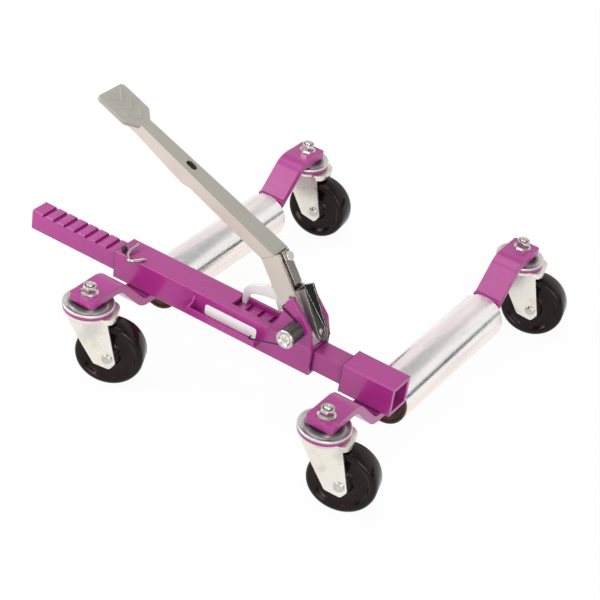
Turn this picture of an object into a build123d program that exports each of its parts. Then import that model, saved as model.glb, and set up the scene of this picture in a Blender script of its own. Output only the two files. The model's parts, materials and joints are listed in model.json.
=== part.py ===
from build123d import *
import math
import os

os.makedirs("parts", exist_ok=True)

# Layout: +X along the ratchet bar, +Y along the rollers, +Z up, floor at z = 0.
roller_spacing = 406.4
caster_span = 570.0
bar_from_casters = 144.1
left_x = -roller_spacing / 2
right_x = roller_spacing / 2
near_y = -caster_span / 2
far_y = caster_span / 2
bar_y = near_y + bar_from_casters

# Fits: a turning pin, a fixed pin, and the gap left beside a moving face.
run_fit = 0.08
snug_fit = 0.05
side_gap = 0.5

# Casters
wheel_dia = 101.6
wheel_width = 38.1
wheel_shoulder = 7.0
wheel_rim = 11.0
wheel_dish = 6.0
wheel_web_taper = 3.5
hub_dia = 29.0
hub_proud = 2.0
wheel_axle_dia = 9.5
axle_head_dia = 16.0
axle_head_t = 3.5
caster_height = 130.2
trail = 38.5
kingpin_dia = 12.7
kingpin_head_dia = 20.0
kingpin_head_t = 6.0
kingpin_tip = 2.5
race_dia = 76.0
race_crown_dia = 54.0
race_step = 4.4
race_t = 2.6
band_t = 4.0
band_height = 5.2
thrust_bore = 30.0
thrust_dia = 48.0
fork_plate_dia = 73.2
fork_plate_t = 4.0
fork_leg_t = 3.6
fork_leg_gap = 3.4
fork_nose = 44.0
fork_corner = 16.0
fork_skirt = 5.0
fork_lap = 10.0
fork_heel = 25.0
fork_waist = 3.0
fork_waist_above = 23.2
fork_shin = 19.5
fork_shin_below = 11.8
fork_sole = 4.5
fork_sole_below = 17.8
fork_toe = 12.5
fork_toe_below = 5.8
fork_round = 5.0
nut_flange_dia = 27.0
nut_flange_t = 3.0
nut_flats = 19.0
nut_height = 10.0
swivel_rest = {"nl": 25.0, "nr": 16.4, "fl": 5.4, "fr": 13.8}

# Straps, rollers and axles
strap_width = 44.45
strap_t = 12.7
strap_drop = 56.5
strap_overhang = 19.5
strap_corner = 5.0
strap_bend = 30.0
near_bend_from_pin = 49.7
far_bend_from_pin = 45.5
axle_dia = 19.05
axle_flat = 0.5
axle_tail = 10.0
axle_proud = 2.0
roller_dia = 73.0
roller_wall = 4.0
bushing_dia = 71.5
bushing_flange_t = 7.0
bushing_barrel = 22.0
bushing_step_dia = 48.0
bushing_step = 2.0
roller_near_gap = 2.6
end_plate_from_caster = 94.15
end_plate_gap = 1.0
end_plate_t = 6.35

# Housing, bar and sleeve
tube_size = 47.6
tube_wall = 6.35
tube_corner = 3.0
housing_left = -250.3
housing_right = 101.6
sleeve_left = 154.2
sleeve_right = 238.4
bar_gap = 0.7
bar_corner = 2.0
bar_left = -416.2
bar_inset = 23.0
notch_first = 19.4
notch_pitch = 20.5
notch_count = 24
notch_length = 8.0
notch_depth = 3.5
notch_lean = 0.6
pawl_lift = 0.6
window_left = -46.0
window_right = 30.0
window_near = 11.6
window_far = 16.9
tooth_slot_left = 80.0
guard_left = -104.0
guard_right = 16.3
guard_out = 16.5
guard_above = 13.3
guard_lip = 13.8
guard_t = 3.0
guard_bend = 4.0
guard_end_drop = 8.6
guard_waist_out = 5.2
guard_waist_drop = 17.0

# Ears and pedal pivot
ear_t = 8.0
ear_gap = 36.0
ear_round = 6.0
ear_foot_back = 47.0
ear_knee_back = 35.0
ear_knee_rise = 18.0
ear_waist_back = 28.0
ear_waist_rise = 40.0
ear_neck_back = 24.0
ear_neck_rise = 58.0
ear_peak_back = 15.0
ear_peak_rise = 68.0
ear_nose_out = 19.0
ear_nose_rise = 30.0
ear_toe_out = 25.0
ear_toe_rise = 8.0
far_ear_foot_back = 55.0
far_ear_heel_back = 52.0
far_ear_heel_rise = 16.0
pivot_x = 74.0
pivot_above = 21.0
pivot_dia = 15.875
cap_dia = 28.6
cap_t = 4.0
cap_seat = 2.2
ring_dia = 25.0
ring_t = 2.0

# Return spring
spring_wire = 2.1
spring_gap = 0.65
spring_turns = 9
spring_dia = 27.7
spring_seat_gap = 0.4
spring_bend = 4.0
spring_hook_back = 29.0
spring_hook_above = 55.7
spring_rest_back = 67.5
spring_rest_over = 6.0
spring_rest_run = 2.5
spring_leg_lead = 0.2

# Pedal
lever_angle = -55.0
lever_top_back = 77.5
lever_top_above = 98.6
lever_width = 34.0
lever_depth = 32.0
lever_wall = 4.0
lever_head = 2.5
lever_web_end = 66.0
lever_relief = 24.0
lever_relief_end = 52.0
lever_boss_dia = 26.0
arm_angle = -22.2
arm_top_back = 58.0
arm_top_above = 114.0
arm_length = 270.0
arm_wall = 3.0
arm_tip_width = 22.0
arm_tip_depth = 18.5
arm_neck_depth = 20.4
arm_neck_from_pad = 112.0
arm_step_depth = 24.6
arm_step_from_pad = 98.0
arm_step_round = 20.0
arm_under_pad = 55.0
arm_slot_from_pad = 91.5
arm_slot_off = 2.0
arm_slot_length = 18.0
arm_slot_width = 11.0
pad_length = 72.0
pad_width = 58.0
pad_t = 6.0
pad_sink = 1.0
pad_corner = 7.0
pad_end_width = 24.6
pad_taper = 17.0
rib_height = 1.6
rib_width = 4.0
rib_reach = 17.0
rib_pitch = 19.0
rib_count = 3
leaf_width = 16.0
leaf_t = 3.5
leaf_end = 48.5
leaf_proud = 1.0
leaf_bolt_at = 7.0
leaf_bolt_dia = 8.0
leaf_bolt_flats = 13.0
leaf_bolt_head = 5.5
leaf_bolt_depth = 15.0
spacer_dia = 17.0

# Drive pawl
pawl_pin_dia = 8.0
pawl_pin_along = 63.0
pawl_pin_across = 24.0
pawl_top = 55.5
pawl_foot = 126.5
pawl_back = 14.0
pawl_back_end = 86.0
pawl_neck_run = 41.5
pawl_edge_top = 49.2
pawl_floor_top = 33.0
pawl_floor_foot = 39.5
pawl_rim = 2.0
pawl_wall = 3.5
pawl_eye_dia = 12.0
tooth_width = 24.0
tooth_tip = 6.5
tooth_from_pivot = 21.5
tooth_nose_above = 12.0
tooth_shoulder_above = 16.0
tooth_heel = 4.0
tooth_heel_above = 8.0
tooth_gap = 0.4
tooth_weld_top = 50.5
tooth_weld_bottom = 64.0

# Holding pawl
hold_t = 7.0
hold_offset = 12.9
hold_pin_dia = 6.0
hold_pin_back = 46.0
hold_pin_above = 8.5
hold_eye_dia = 14.0
hold_head_dia = 10.0
hold_head_t = 2.0
hold_toe = 4.0
hold_toe_end = 11.0
hold_toe_rise = 16.0
hold_ankle = 13.0
hold_ankle_rise = 6.0
hold_shin = 18.0
hold_shin_rise = 16.0
hold_arch_left = 42.0
hold_arch_left_rise = 23.0
hold_arch_right = 59.0
hold_arch_right_rise = 25.0
hold_neck = 2.0
hold_neck_rise = 22.0
hold_shoulder = 58.0
hold_shoulder_rise = 38.0
hold_crown = 48.0
hold_crown_rise = 44.0
hold_back = 14.0
hold_back_rise = 28.0
hold_knee = 7.0
hold_knee_rise = 22.0

# Lock pin
lock_dia = 4.5
lock_x = -202.0
lock_from_bar = 14.6
lock_lie = 1.0
lock_bend = 3.0
lock_loop_bend = 4.5
lock_pull_bend = 22.0
lock_loop_left = 14.0
lock_loop_out = 21.0
lock_pull_left = 29.0
lock_pull_out = 7.0
lock_pull_rise = 1.0
lock_hook_in = 22.0
lock_hook_rise = 3.0
boot_dia = 11.0
boot_length = 8.5
boot_x = -244.5
boot_from_bar = 17.1
boot_ring = 1.2

# Levels that follow from the sizes above
plate_top = caster_height + strap_t
shelf_top = plate_top - strap_drop
shelf_bottom = shelf_top - strap_t
axle_z = shelf_bottom - axle_dia / 2 + axle_flat
tube_top = shelf_top + tube_size
tube_near = bar_y - tube_size / 2
tube_far = bar_y + tube_size / 2
bar_size = tube_size - 2 * tube_wall - 2 * bar_gap
bar_z = shelf_top + tube_size / 2
bar_top = bar_z + bar_size / 2
bar_right = sleeve_right - bar_inset
tip_z = bar_top + pawl_lift
roller_near = tube_far + roller_near_gap
end_plate_far = far_y - end_plate_from_caster
roller_far = end_plate_far - end_plate_t - end_plate_gap
wheel_r = wheel_dia / 2
pivot_z = tube_top + pivot_above
spring_hook_x = pivot_x - spring_hook_back
spring_hook_z = tube_top + spring_hook_above
spring_rest_x = pivot_x - spring_rest_back
lever_top_x = pivot_x - lever_top_back
lever_top_z = tube_top + lever_top_above
arm_top_x = pivot_x - arm_top_back
arm_top_z = tube_top + arm_top_above
tooth_front = pivot_x + tooth_from_pivot
hold_pin_x = pivot_x - hold_pin_back
hold_pin_z = tube_top + hold_pin_above
lock_y = bar_y - lock_from_bar
boot_y = bar_y - boot_from_bar
ear_in = ear_gap / 2
ear_out = ear_in + ear_t
inner_half = lever_width / 2 - lever_wall
slot_half = inner_half + side_gap


def xz(y):
    return Plane.XZ.offset(-y)


def save(builder, name):
    builder.part.label = name
    export_step(builder.part, f"parts/{name}.step")


def strap(x, pin_y, bend_from_pin, end_y):
    side = 1 if pin_y < 0 else -1
    outer_y = pin_y - side * strap_overhang
    bend_y = pin_y + side * bend_from_pin
    foot_y = bend_y + side * strap_drop
    mid_top = plate_top - strap_t / 2
    mid_low = shelf_top - strap_t / 2
    reach_y = foot_y + side * strap_t * 6
    with BuildPart() as body:
        with BuildLine():
            FilletPolyline(
                (x, outer_y, mid_top),
                (x, bend_y, mid_top),
                (x, foot_y, mid_low),
                (x, reach_y, mid_low),
                radius=strap_bend,
            )
        with BuildSketch(Plane(origin=(x, outer_y, mid_top), x_dir=(1, 0, 0), z_dir=(0, side, 0))):
            Rectangle(strap_width, strap_t)
        sweep()
        with BuildSketch(xz(end_y)):
            with Locations((x, mid_top)):
                Rectangle(4 * strap_width, 6 * strap_drop)
        extrude(amount=-side * 12 * strap_t, mode=Mode.SUBTRACT)
        with BuildSketch(Plane.XY.offset(caster_height)):
            with Locations((x, pin_y)):
                Circle(kingpin_dia / 2 + snug_fit)
        extrude(amount=strap_t, mode=Mode.SUBTRACT)
        corners = body.edges().filter_by(Axis.Z).filter_by_position(
            Axis.Y, outer_y - snug_fit, outer_y + snug_fit
        )
        fillet(corners, strap_corner)
    return body


# Straps: flat bar bent down from each caster, near ones run under the square tubes.
for side_name, side_x in (("left", left_x), ("right", right_x)):
    near_strap = strap(side_x, near_y, near_bend_from_pin, tube_far)
    save(near_strap, f"{side_name}_near_strap")
    far_strap = strap(side_x, far_y, far_bend_from_pin, end_plate_far)
    save(far_strap, f"{side_name}_far_strap")

# End plates: close the far straps and carry the far ends of the roller axles.
slope_at_plate = plate_top - (far_y - far_bend_from_pin - end_plate_far)
plate_crest = slope_at_plate + strap_t / 2 * (math.sqrt(2) - 1)
for side_name, side_x in (("left", left_x), ("right", right_x)):
    with BuildPart() as end_plate:
        with BuildSketch(xz(end_plate_far)):
            with Locations((side_x, axle_z)):
                Circle(strap_width / 2)
            with Locations((side_x, (axle_z + plate_crest) / 2)):
                Rectangle(strap_width, plate_crest - axle_z)
            with Locations((side_x, axle_z)):
                Circle(axle_dia / 2 + snug_fit, mode=Mode.SUBTRACT)
        extrude(amount=end_plate_t)
    save(end_plate, f"{side_name}_end_plate")

# Roller axles: round rod with a flat where it is welded under the near strap.
for side_name, side_x in (("left", left_x), ("right", right_x)):
    with BuildPart() as axle:
        with BuildSketch(xz(end_plate_far + axle_proud)):
            with Locations((side_x, axle_z)):
                Circle(axle_dia / 2)
        extrude(amount=end_plate_far + axle_proud - tube_near - axle_tail)
        with BuildSketch(Plane.XY.offset(shelf_bottom)):
            with Locations((side_x, bar_y)):
                Rectangle(axle_dia, tube_size)
        extrude(amount=axle_dia, mode=Mode.SUBTRACT)
    save(axle, f"{side_name}_axle")

# Rollers: plated tube with a flanged, stepped bushing pushed into each end.
tube_near_end = roller_near + bushing_flange_t
tube_far_end = roller_far - bushing_flange_t
for side_name, side_x in (("left", left_x), ("right", right_x)):
    with BuildPart() as roller_tube:
        with BuildSketch(xz(tube_far_end)):
            with Locations((side_x, axle_z)):
                Circle(roller_dia / 2)
                Circle(roller_dia / 2 - roller_wall, mode=Mode.SUBTRACT)
        extrude(amount=tube_far_end - tube_near_end)
    save(roller_tube, f"{side_name}_roller_tube")
    barrel_r = roller_dia / 2 - roller_wall - snug_fit
    bore_r = axle_dia / 2 + run_fit
    step_y = bushing_flange_t - bushing_step
    with BuildPart() as bushings:
        for face_y, way in ((tube_near_end, 1), (tube_far_end, -1)):
            with BuildSketch(Plane.YZ.offset(side_x)):
                with BuildLine():
                    Polyline(
                        (face_y + way * bushing_barrel, axle_z + bore_r),
                        (face_y + way * bushing_barrel, axle_z + barrel_r),
                        (face_y, axle_z + barrel_r),
                        (face_y, axle_z + bushing_dia / 2),
                        (face_y - way * step_y, axle_z + bushing_dia / 2),
                        (face_y - way * step_y, axle_z + bushing_step_dia / 2),
                        (face_y - way * bushing_flange_t, axle_z + bushing_step_dia / 2),
                        (face_y - way * bushing_flange_t, axle_z + bore_r),
                        close=True,
                    )
                make_face()
            revolve(axis=Axis((side_x, 0, axle_z), (0, 1, 0)))
    save(bushings, f"{side_name}_roller_bushings")

# Main housing: square tube with the pawl window, the tooth slot and the lock pin hole.
with BuildPart() as main_housing:
    with BuildSketch(Plane.YZ.offset(housing_left)):
        with Locations((bar_y, bar_z)):
            RectangleRounded(tube_size, tube_size, tube_corner)
            Rectangle(tube_size - 2 * tube_wall, tube_size - 2 * tube_wall, mode=Mode.SUBTRACT)
    extrude(amount=housing_right - housing_left)
    with BuildSketch(Plane.XY.offset(bar_z)):
        with Locations(((window_left + window_right) / 2, bar_y + (window_far - window_near) / 2)):
            Rectangle(window_right - window_left, window_near + window_far)
        with Locations(((tooth_slot_left + housing_right + tube_size) / 2, bar_y)):
            Rectangle(housing_right + tube_size - tooth_slot_left, 2 * slot_half)
        with Locations((lock_x, lock_y)):
            Circle(lock_dia / 2 + run_fit)
    extrude(amount=tube_size, mode=Mode.SUBTRACT)
save(main_housing, "main_housing")

# Right sleeve: short length of the same tube on the end of the bar.
with BuildPart() as right_sleeve:
    with BuildSketch(Plane.YZ.offset(sleeve_left)):
        with Locations((bar_y, bar_z)):
            RectangleRounded(tube_size, tube_size, tube_corner)
            Rectangle(tube_size - 2 * tube_wall, tube_size - 2 * tube_wall, mode=Mode.SUBTRACT)
    extrude(amount=sleeve_right - sleeve_left)
save(right_sleeve, "right_sleeve")

# Ratchet bar: square bar with a row of notches cut across its top.
with BuildPart() as ratchet_bar:
    with BuildSketch(Plane.YZ.offset(bar_left)):
        with Locations((bar_y, bar_z)):
            RectangleRounded(bar_size, bar_size, bar_corner)
    extrude(amount=bar_right - bar_left)
    with BuildSketch(xz(bar_y)):
        for notch in range(notch_count):
            wall_x = bar_left + notch_first + notch * notch_pitch
            with BuildLine():
                Polyline(
                    (wall_x, bar_top),
                    (wall_x + notch_lean, bar_top - notch_depth),
                    (wall_x + notch_length, bar_top),
                    close=True,
                )
            make_face()
    extrude(amount=bar_size, both=True, mode=Mode.SUBTRACT)
save(ratchet_bar, "ratchet_bar")

# Side guard: open tray of bent plate welded along the near side; the spring's leg hooks over its lip.
guard_under = shelf_top + guard_above
guard_lip_top = guard_under + guard_lip
guard_face = tube_near - guard_out
with BuildPart() as side_guard:
    with BuildSketch(Plane.YZ.offset(guard_left)):
        with BuildLine():
            Polyline(
                (tube_near, guard_under),
                (guard_face, guard_under),
                (guard_face, guard_lip_top),
                (guard_face + guard_t, guard_lip_top),
                (guard_face + guard_t, guard_under + guard_t),
                (tube_near, guard_under + guard_t),
                close=True,
            )
        make_face()
    extrude(amount=guard_right - guard_left)
    with BuildSketch(Plane.YZ.offset(guard_left)):
        with BuildLine():
            Polyline(
                (tube_near, guard_under),
                (guard_face, guard_under),
                (guard_face, guard_lip_top),
                (tube_near - guard_waist_out, tube_top - guard_waist_drop),
                (tube_near, tube_top - guard_end_drop),
                close=True,
            )
        make_face()
    extrude(amount=guard_t)
    fillet(side_guard.edges().filter_by(Axis.X).group_by(Axis.Z)[0].group_by(Axis.Y)[0], guard_bend)
save(side_guard, "side_guard")

# Ears: plates that stand on the housing and carry the pedal and the holding pawl.
near_ear_outline = [
    (pivot_x - ear_foot_back, tube_top),
    (pivot_x - ear_knee_back, tube_top + ear_knee_rise),
    (pivot_x - ear_waist_back, tube_top + ear_waist_rise),
    (pivot_x - ear_neck_back, tube_top + ear_neck_rise),
    (pivot_x - ear_peak_back, tube_top + ear_peak_rise),
    (pivot_x + ear_nose_out, tube_top + ear_nose_rise),
    (pivot_x + ear_toe_out, tube_top + ear_toe_rise),
    (housing_right, tube_top),
]
far_ear_heel = [
    (pivot_x - far_ear_foot_back, tube_top),
    (pivot_x - far_ear_heel_back, tube_top + far_ear_heel_rise),
]
far_ear_outline = far_ear_heel + near_ear_outline[1:]
for ear_name, side, outline in (("near_ear", -1, near_ear_outline), ("far_ear", 1, far_ear_outline)):
    with BuildPart() as ear:
        with BuildSketch(xz(bar_y + side * (ear_in + ear_t / 2))):
            with BuildLine():
                Polyline(*outline, close=True)
            make_face()
            with Locations((pivot_x, pivot_z)):
                Circle(pivot_dia / 2 + snug_fit, mode=Mode.SUBTRACT)
            if side > 0:
                with Locations((hold_pin_x, hold_pin_z)):
                    Circle(hold_pin_dia / 2 + snug_fit, mode=Mode.SUBTRACT)
        extrude(amount=ear_t / 2, both=True)
        fillet(ear.edges().filter_by(Axis.Y).sort_by(Axis.Z)[-2:], ear_round)
    save(ear, ear_name)

# Return spring sizes: it sits between the near ear and the cap on the pivot pin.
spring_r = (spring_dia - spring_wire) / 2
spring_pitch = spring_wire + spring_gap
coil_start_y = bar_y - ear_out - spring_seat_gap - spring_wire / 2
hook_out = math.hypot(spring_hook_x - pivot_x, spring_hook_z - pivot_z)
hook_turn = math.atan2(spring_hook_z - pivot_z, spring_hook_x - pivot_x)
coil_from = hook_turn - math.acos(spring_r / hook_out)
rest_z = guard_lip_top + spring_seat_gap + spring_wire / 2
rest_out = math.hypot(spring_rest_x - pivot_x, rest_z - pivot_z)
rest_turn = math.atan2(rest_z - pivot_z, spring_rest_x - pivot_x)
coil_to = rest_turn + math.acos(spring_r / rest_out)
coil_angle = (coil_from - coil_to) % (2 * math.pi) + spring_turns * 2 * math.pi
coil_end_y = coil_start_y - spring_pitch * coil_angle / (2 * math.pi)
cap_near = coil_end_y - spring_wire / 2 - spring_seat_gap

# Pivot pin with a push-on cap at the near end and a retaining ring at the far end.
pin_near = cap_near - cap_seat + side_gap
ring_near = bar_y + ear_out
pin_far = ring_near + 2 * ring_t
with BuildPart() as pivot_pin:
    with BuildSketch(xz(pin_far)):
        with Locations((pivot_x, pivot_z)):
            Circle(pivot_dia / 2)
    extrude(amount=pin_far - pin_near)
save(pivot_pin, "pivot_pin")
with BuildPart() as pivot_cap:
    with BuildSketch(xz(cap_near)):
        with Locations((pivot_x, pivot_z)):
            Circle(cap_dia / 2)
    extrude(amount=cap_t)
    fillet(pivot_cap.faces().sort_by(Axis.Y)[0].edges(), cap_t / 2)
    with BuildSketch(xz(cap_near)):
        with Locations((pivot_x, pivot_z)):
            Circle(pivot_dia / 2 + snug_fit)
    extrude(amount=cap_seat, mode=Mode.SUBTRACT)
save(pivot_cap, "pivot_cap")
with BuildPart() as pivot_ring:
    with BuildSketch(xz(ring_near + ring_t)):
        with Locations((pivot_x, pivot_z)):
            Circle(ring_dia / 2)
            Circle(pivot_dia / 2 + snug_fit, mode=Mode.SUBTRACT)
    extrude(amount=ring_t)
save(pivot_ring, "pivot_ring")


# Return spring: hooked leg, close-wound coil on biarcs, and a leg to the side guard.
def coil_point(turn):
    angle = coil_from - turn
    y = coil_start_y - spring_pitch * turn / (2 * math.pi)
    return Vector(pivot_x + spring_r * math.cos(angle), y, pivot_z + spring_r * math.sin(angle))


def coil_way(turn):
    angle = coil_from - turn
    rise = -spring_pitch / (2 * math.pi)
    return Vector(spring_r * math.sin(angle), rise, -spring_r * math.cos(angle)).normalized()


def biarc(start, start_way, end, end_way):
    span = end - start
    ways = start_way + end_way
    a = ways.dot(ways) - 4
    b = -2 * span.dot(ways)
    c = span.dot(span)
    reach = c / -b if abs(a) < 1e-9 else (-b - math.sqrt(b * b - 4 * a * c)) / (2 * a)
    middle = (start + start_way * reach + end - end_way * reach) * 0.5
    TangentArc(start, middle, tangent=start_way)
    TangentArc(middle, end, tangent=(end - end_way * reach - middle).normalized())


hook_end = Vector(spring_hook_x, bar_y - lever_width / 2 - spring_seat_gap, spring_hook_z)
hook_corner = Vector(spring_hook_x, coil_start_y, spring_hook_z)
coil_in = coil_point(0)
hook_way = (coil_in - hook_corner).normalized()
coil_out = coil_point(coil_angle)
rest_end = Vector(spring_rest_x, guard_face + spring_rest_over, rest_z)
rest_corner = Vector(spring_rest_x, guard_face - spring_rest_run, rest_z)
leg_start = coil_out + (rest_corner - coil_out) * spring_leg_lead
leg_way = (rest_corner - leg_start).normalized()
across = Vector(0, 1, 0)
hook_trim = spring_bend * math.tan(math.radians(45))
rest_trim = spring_bend * math.tan(math.acos(leg_way.dot(across)) / 2)
quarter_turns = math.ceil(coil_angle / (math.pi / 2))
quarter = coil_angle / quarter_turns
lead_in = coil_in - hook_way * 2 * spring_wire
with BuildPart() as pedal_spring:
    with BuildLine() as wire_path:
        Line(hook_end, hook_corner + across * hook_trim)
        TangentArc(hook_corner + across * hook_trim, hook_corner + hook_way * hook_trim, tangent=-across)
        Line(hook_corner + hook_way * hook_trim, lead_in)
        biarc(lead_in, hook_way, coil_point(quarter), coil_way(quarter))
        for step in range(1, quarter_turns):
            biarc(
                coil_point(step * quarter),
                coil_way(step * quarter),
                coil_point((step + 1) * quarter),
                coil_way((step + 1) * quarter),
            )
        biarc(coil_out, coil_way(coil_angle), leg_start, leg_way)
        Line(leg_start, rest_corner - leg_way * rest_trim)
        TangentArc(rest_corner - leg_way * rest_trim, rest_corner + across * rest_trim, tangent=leg_way)
        Line(rest_corner + across * rest_trim, rest_end)
    with BuildSketch(Plane(origin=hook_end, z_dir=(0, -1, 0))):
        Circle(spring_wire / 2)
    sweep()
save(pedal_spring, "pedal_spring")

wire = wire_path.wire()
sample_count = 1200
samples = [wire.position_at(i / sample_count) for i in range(sample_count + 1)]
skip = int(sample_count * math.pi * spring_r / wire.length)
least_gap = min(
    (samples[i] - samples[j]).length
    for i in range(0, sample_count + 1)
    for j in range(i + skip, sample_count + 1)
)
print("spring least gap to itself", round(least_gap - spring_wire, 3))

# Pedal lever: channel that hangs between the ears, open on the right, its far wall cut low beside the leaf.
lever_x_dir = (math.cos(math.radians(lever_angle)), 0, math.sin(math.radians(lever_angle)))
lever_plane = Plane(origin=(lever_top_x, bar_y, lever_top_z), x_dir=lever_x_dir, z_dir=(0, -1, 0))
lever_y_dir = lever_plane.y_dir


def lever_at(along, across_it):
    x = lever_top_x + along * lever_x_dir[0] + across_it * lever_y_dir.X
    z = lever_top_z + along * lever_x_dir[2] + across_it * lever_y_dir.Z
    return x, z


pivot_from = Vector(pivot_x - lever_top_x, 0, pivot_z - lever_top_z)
pivot_along = pivot_from.dot(Vector(*lever_x_dir))
pivot_across = pivot_from.dot(lever_y_dir)
neck_across = pivot_across - lever_boss_dia / 2
with BuildPart() as pedal_lever:
    with BuildSketch(lever_plane):
        with BuildLine():
            Polyline(
                (-lever_head, 0),
                (lever_web_end, 0),
                (lever_web_end, neck_across),
                (pivot_along, neck_across),
                (pivot_along, lever_depth),
                (-lever_head, lever_depth),
                close=True,
            )
        make_face()
        with Locations((pivot_along, pivot_across)):
            Circle(lever_boss_dia / 2)
    extrude(amount=lever_width / 2, both=True)
    with BuildSketch(lever_plane):
        with Locations((pivot_along, lever_wall + lever_depth)):
            Rectangle(4 * pivot_along, 2 * lever_depth)
        with Locations((lever_web_end + pivot_along, 0)):
            Rectangle(2 * pivot_along, 4 * lever_depth)
    extrude(amount=inner_half, both=True, mode=Mode.SUBTRACT)
    with BuildSketch(lever_plane):
        with Locations((pivot_along, pivot_across)):
            Circle(pivot_dia / 2 + run_fit)
        with Locations((pawl_pin_along, pawl_pin_across)):
            Circle(pawl_pin_dia / 2 + snug_fit)
    extrude(amount=lever_width, both=True, mode=Mode.SUBTRACT)
    with BuildSketch(lever_plane):
        with BuildLine():
            Polyline(
                (-lever_head, lever_relief),
                (lever_relief_end, lever_relief),
                (lever_relief_end + lever_depth - lever_relief, lever_depth),
                (-lever_head, lever_depth),
                close=True,
            )
        make_face()
    extrude(amount=-lever_width, mode=Mode.SUBTRACT)
save(pedal_lever, "pedal_lever")

# Pedal arm: tapered channel from the lever's head up to the foot pad.
arm_x_dir = (math.cos(math.radians(arm_angle)), 0, math.sin(math.radians(arm_angle)))
head_from = Vector(arm_top_x - lever_top_x, 0, arm_top_z - lever_top_z)
head_along = head_from.dot(Vector(*lever_x_dir))
arm_turn = Vector(*arm_x_dir).dot(Vector(*lever_x_dir))
arm_end = (-lever_head - head_along) / arm_turn
arm_root_x = arm_top_x + arm_end * arm_x_dir[0]
arm_root_z = arm_top_z + arm_end * arm_x_dir[2]
arm_side = Plane(origin=(arm_root_x, bar_y, arm_root_z), x_dir=arm_x_dir, z_dir=(0, -1, 0))
arm_flat = Plane(origin=(arm_root_x, bar_y, arm_root_z), x_dir=arm_x_dir, z_dir=arm_side.y_dir)
heel_x, heel_z = lever_at(-lever_head, 0)
heel_from = Vector(heel_x - arm_root_x, 0, heel_z - arm_root_z)
heel_along = heel_from.dot(Vector(*arm_x_dir))
heel_drop = heel_from.dot(arm_side.y_dir)
pad_end = -arm_length
pad_bottom = -pad_sink - pad_t
arm_tip = pad_end - arm_under_pad
arm_step = pad_end + arm_step_from_pad
arm_neck = pad_end + arm_neck_from_pad
tip_half = arm_tip_width / 2
root_half = lever_width / 2
reach = 2 * lever_depth
with BuildPart() as pedal_arm:
    with BuildSketch(arm_side) as arm_outline:
        with BuildLine():
            Polyline(
                (0, 0),
                (pad_end, 0),
                (pad_end, pad_bottom),
                (arm_tip, pad_bottom),
                (arm_tip, -arm_tip_depth),
                (pad_end, -arm_tip_depth),
                (arm_step, -arm_step_depth),
                (arm_neck, -arm_neck_depth),
                (heel_along, heel_drop),
                close=True,
            )
        make_face()
        swell = (arm_step - side_gap, arm_neck + side_gap)
        fillet(arm_outline.vertices().filter_by_position(Axis.X, *swell), arm_step_round)
    extrude(amount=lever_width, both=True)
    with BuildSketch(arm_flat):
        with BuildLine():
            Polyline(
                (arm_tip, -tip_half),
                (pad_end, -tip_half),
                (heel_along, -root_half),
                (reach, -root_half),
                (reach, root_half),
                (heel_along, root_half),
                (pad_end, tip_half),
                (arm_tip, tip_half),
                close=True,
            )
        make_face()
    extrude(amount=reach, both=True, mode=Mode.INTERSECT)
    with BuildSketch(arm_flat.offset(-arm_wall)):
        with BuildLine():
            Polyline(
                (arm_tip + arm_wall, -tip_half + arm_wall),
                (pad_end, -tip_half + arm_wall),
                (heel_along, -root_half + lever_wall),
                (reach, -root_half + lever_wall),
                (reach, root_half - lever_wall),
                (heel_along, root_half - lever_wall),
                (pad_end, tip_half - arm_wall),
                (arm_tip + arm_wall, tip_half - arm_wall),
                close=True,
            )
        make_face()
    extrude(amount=-reach, mode=Mode.SUBTRACT)
    with BuildSketch(arm_flat):
        with Locations((pad_end + arm_slot_from_pad, arm_slot_off)):
            SlotOverall(arm_slot_length, arm_slot_width)
    extrude(amount=-2 * arm_wall, mode=Mode.SUBTRACT)
save(pedal_arm, "pedal_arm")

# Foot pad: plate with tapered heel and raised chevrons.
pad_tip = pad_end - pad_length
with BuildPart() as pedal_pad:
    with BuildSketch(arm_flat.offset(pad_bottom)) as pad_outline:
        with BuildLine():
            Polyline(
                (pad_tip, -pad_width / 2),
                (pad_end - pad_taper, -pad_width / 2),
                (pad_end, -pad_end_width / 2),
                (pad_end, pad_end_width / 2),
                (pad_end - pad_taper, pad_width / 2),
                (pad_tip, pad_width / 2),
                close=True,
            )
        make_face()
        fillet(pad_outline.vertices().group_by(Axis.X)[0], pad_corner)
        fillet(pad_outline.vertices().group_by(Axis.X)[-2], pad_corner)
    extrude(amount=pad_t)
    with BuildSketch(arm_flat.offset(pad_bottom + pad_t)):
        for rib in range(rib_count):
            peak = pad_tip + pad_corner + (rib + 1) * rib_pitch
            with BuildLine():
                Polyline(
                    (peak, 0),
                    (peak - rib_reach, rib_reach),
                    (peak - rib_reach - rib_width, rib_reach),
                    (peak - rib_width, 0),
                    (peak - rib_reach - rib_width, -rib_reach),
                    (peak - rib_reach, -rib_reach),
                    close=True,
                )
            make_face()
    extrude(amount=rib_height)
save(pedal_pad, "pedal_pad")

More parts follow.
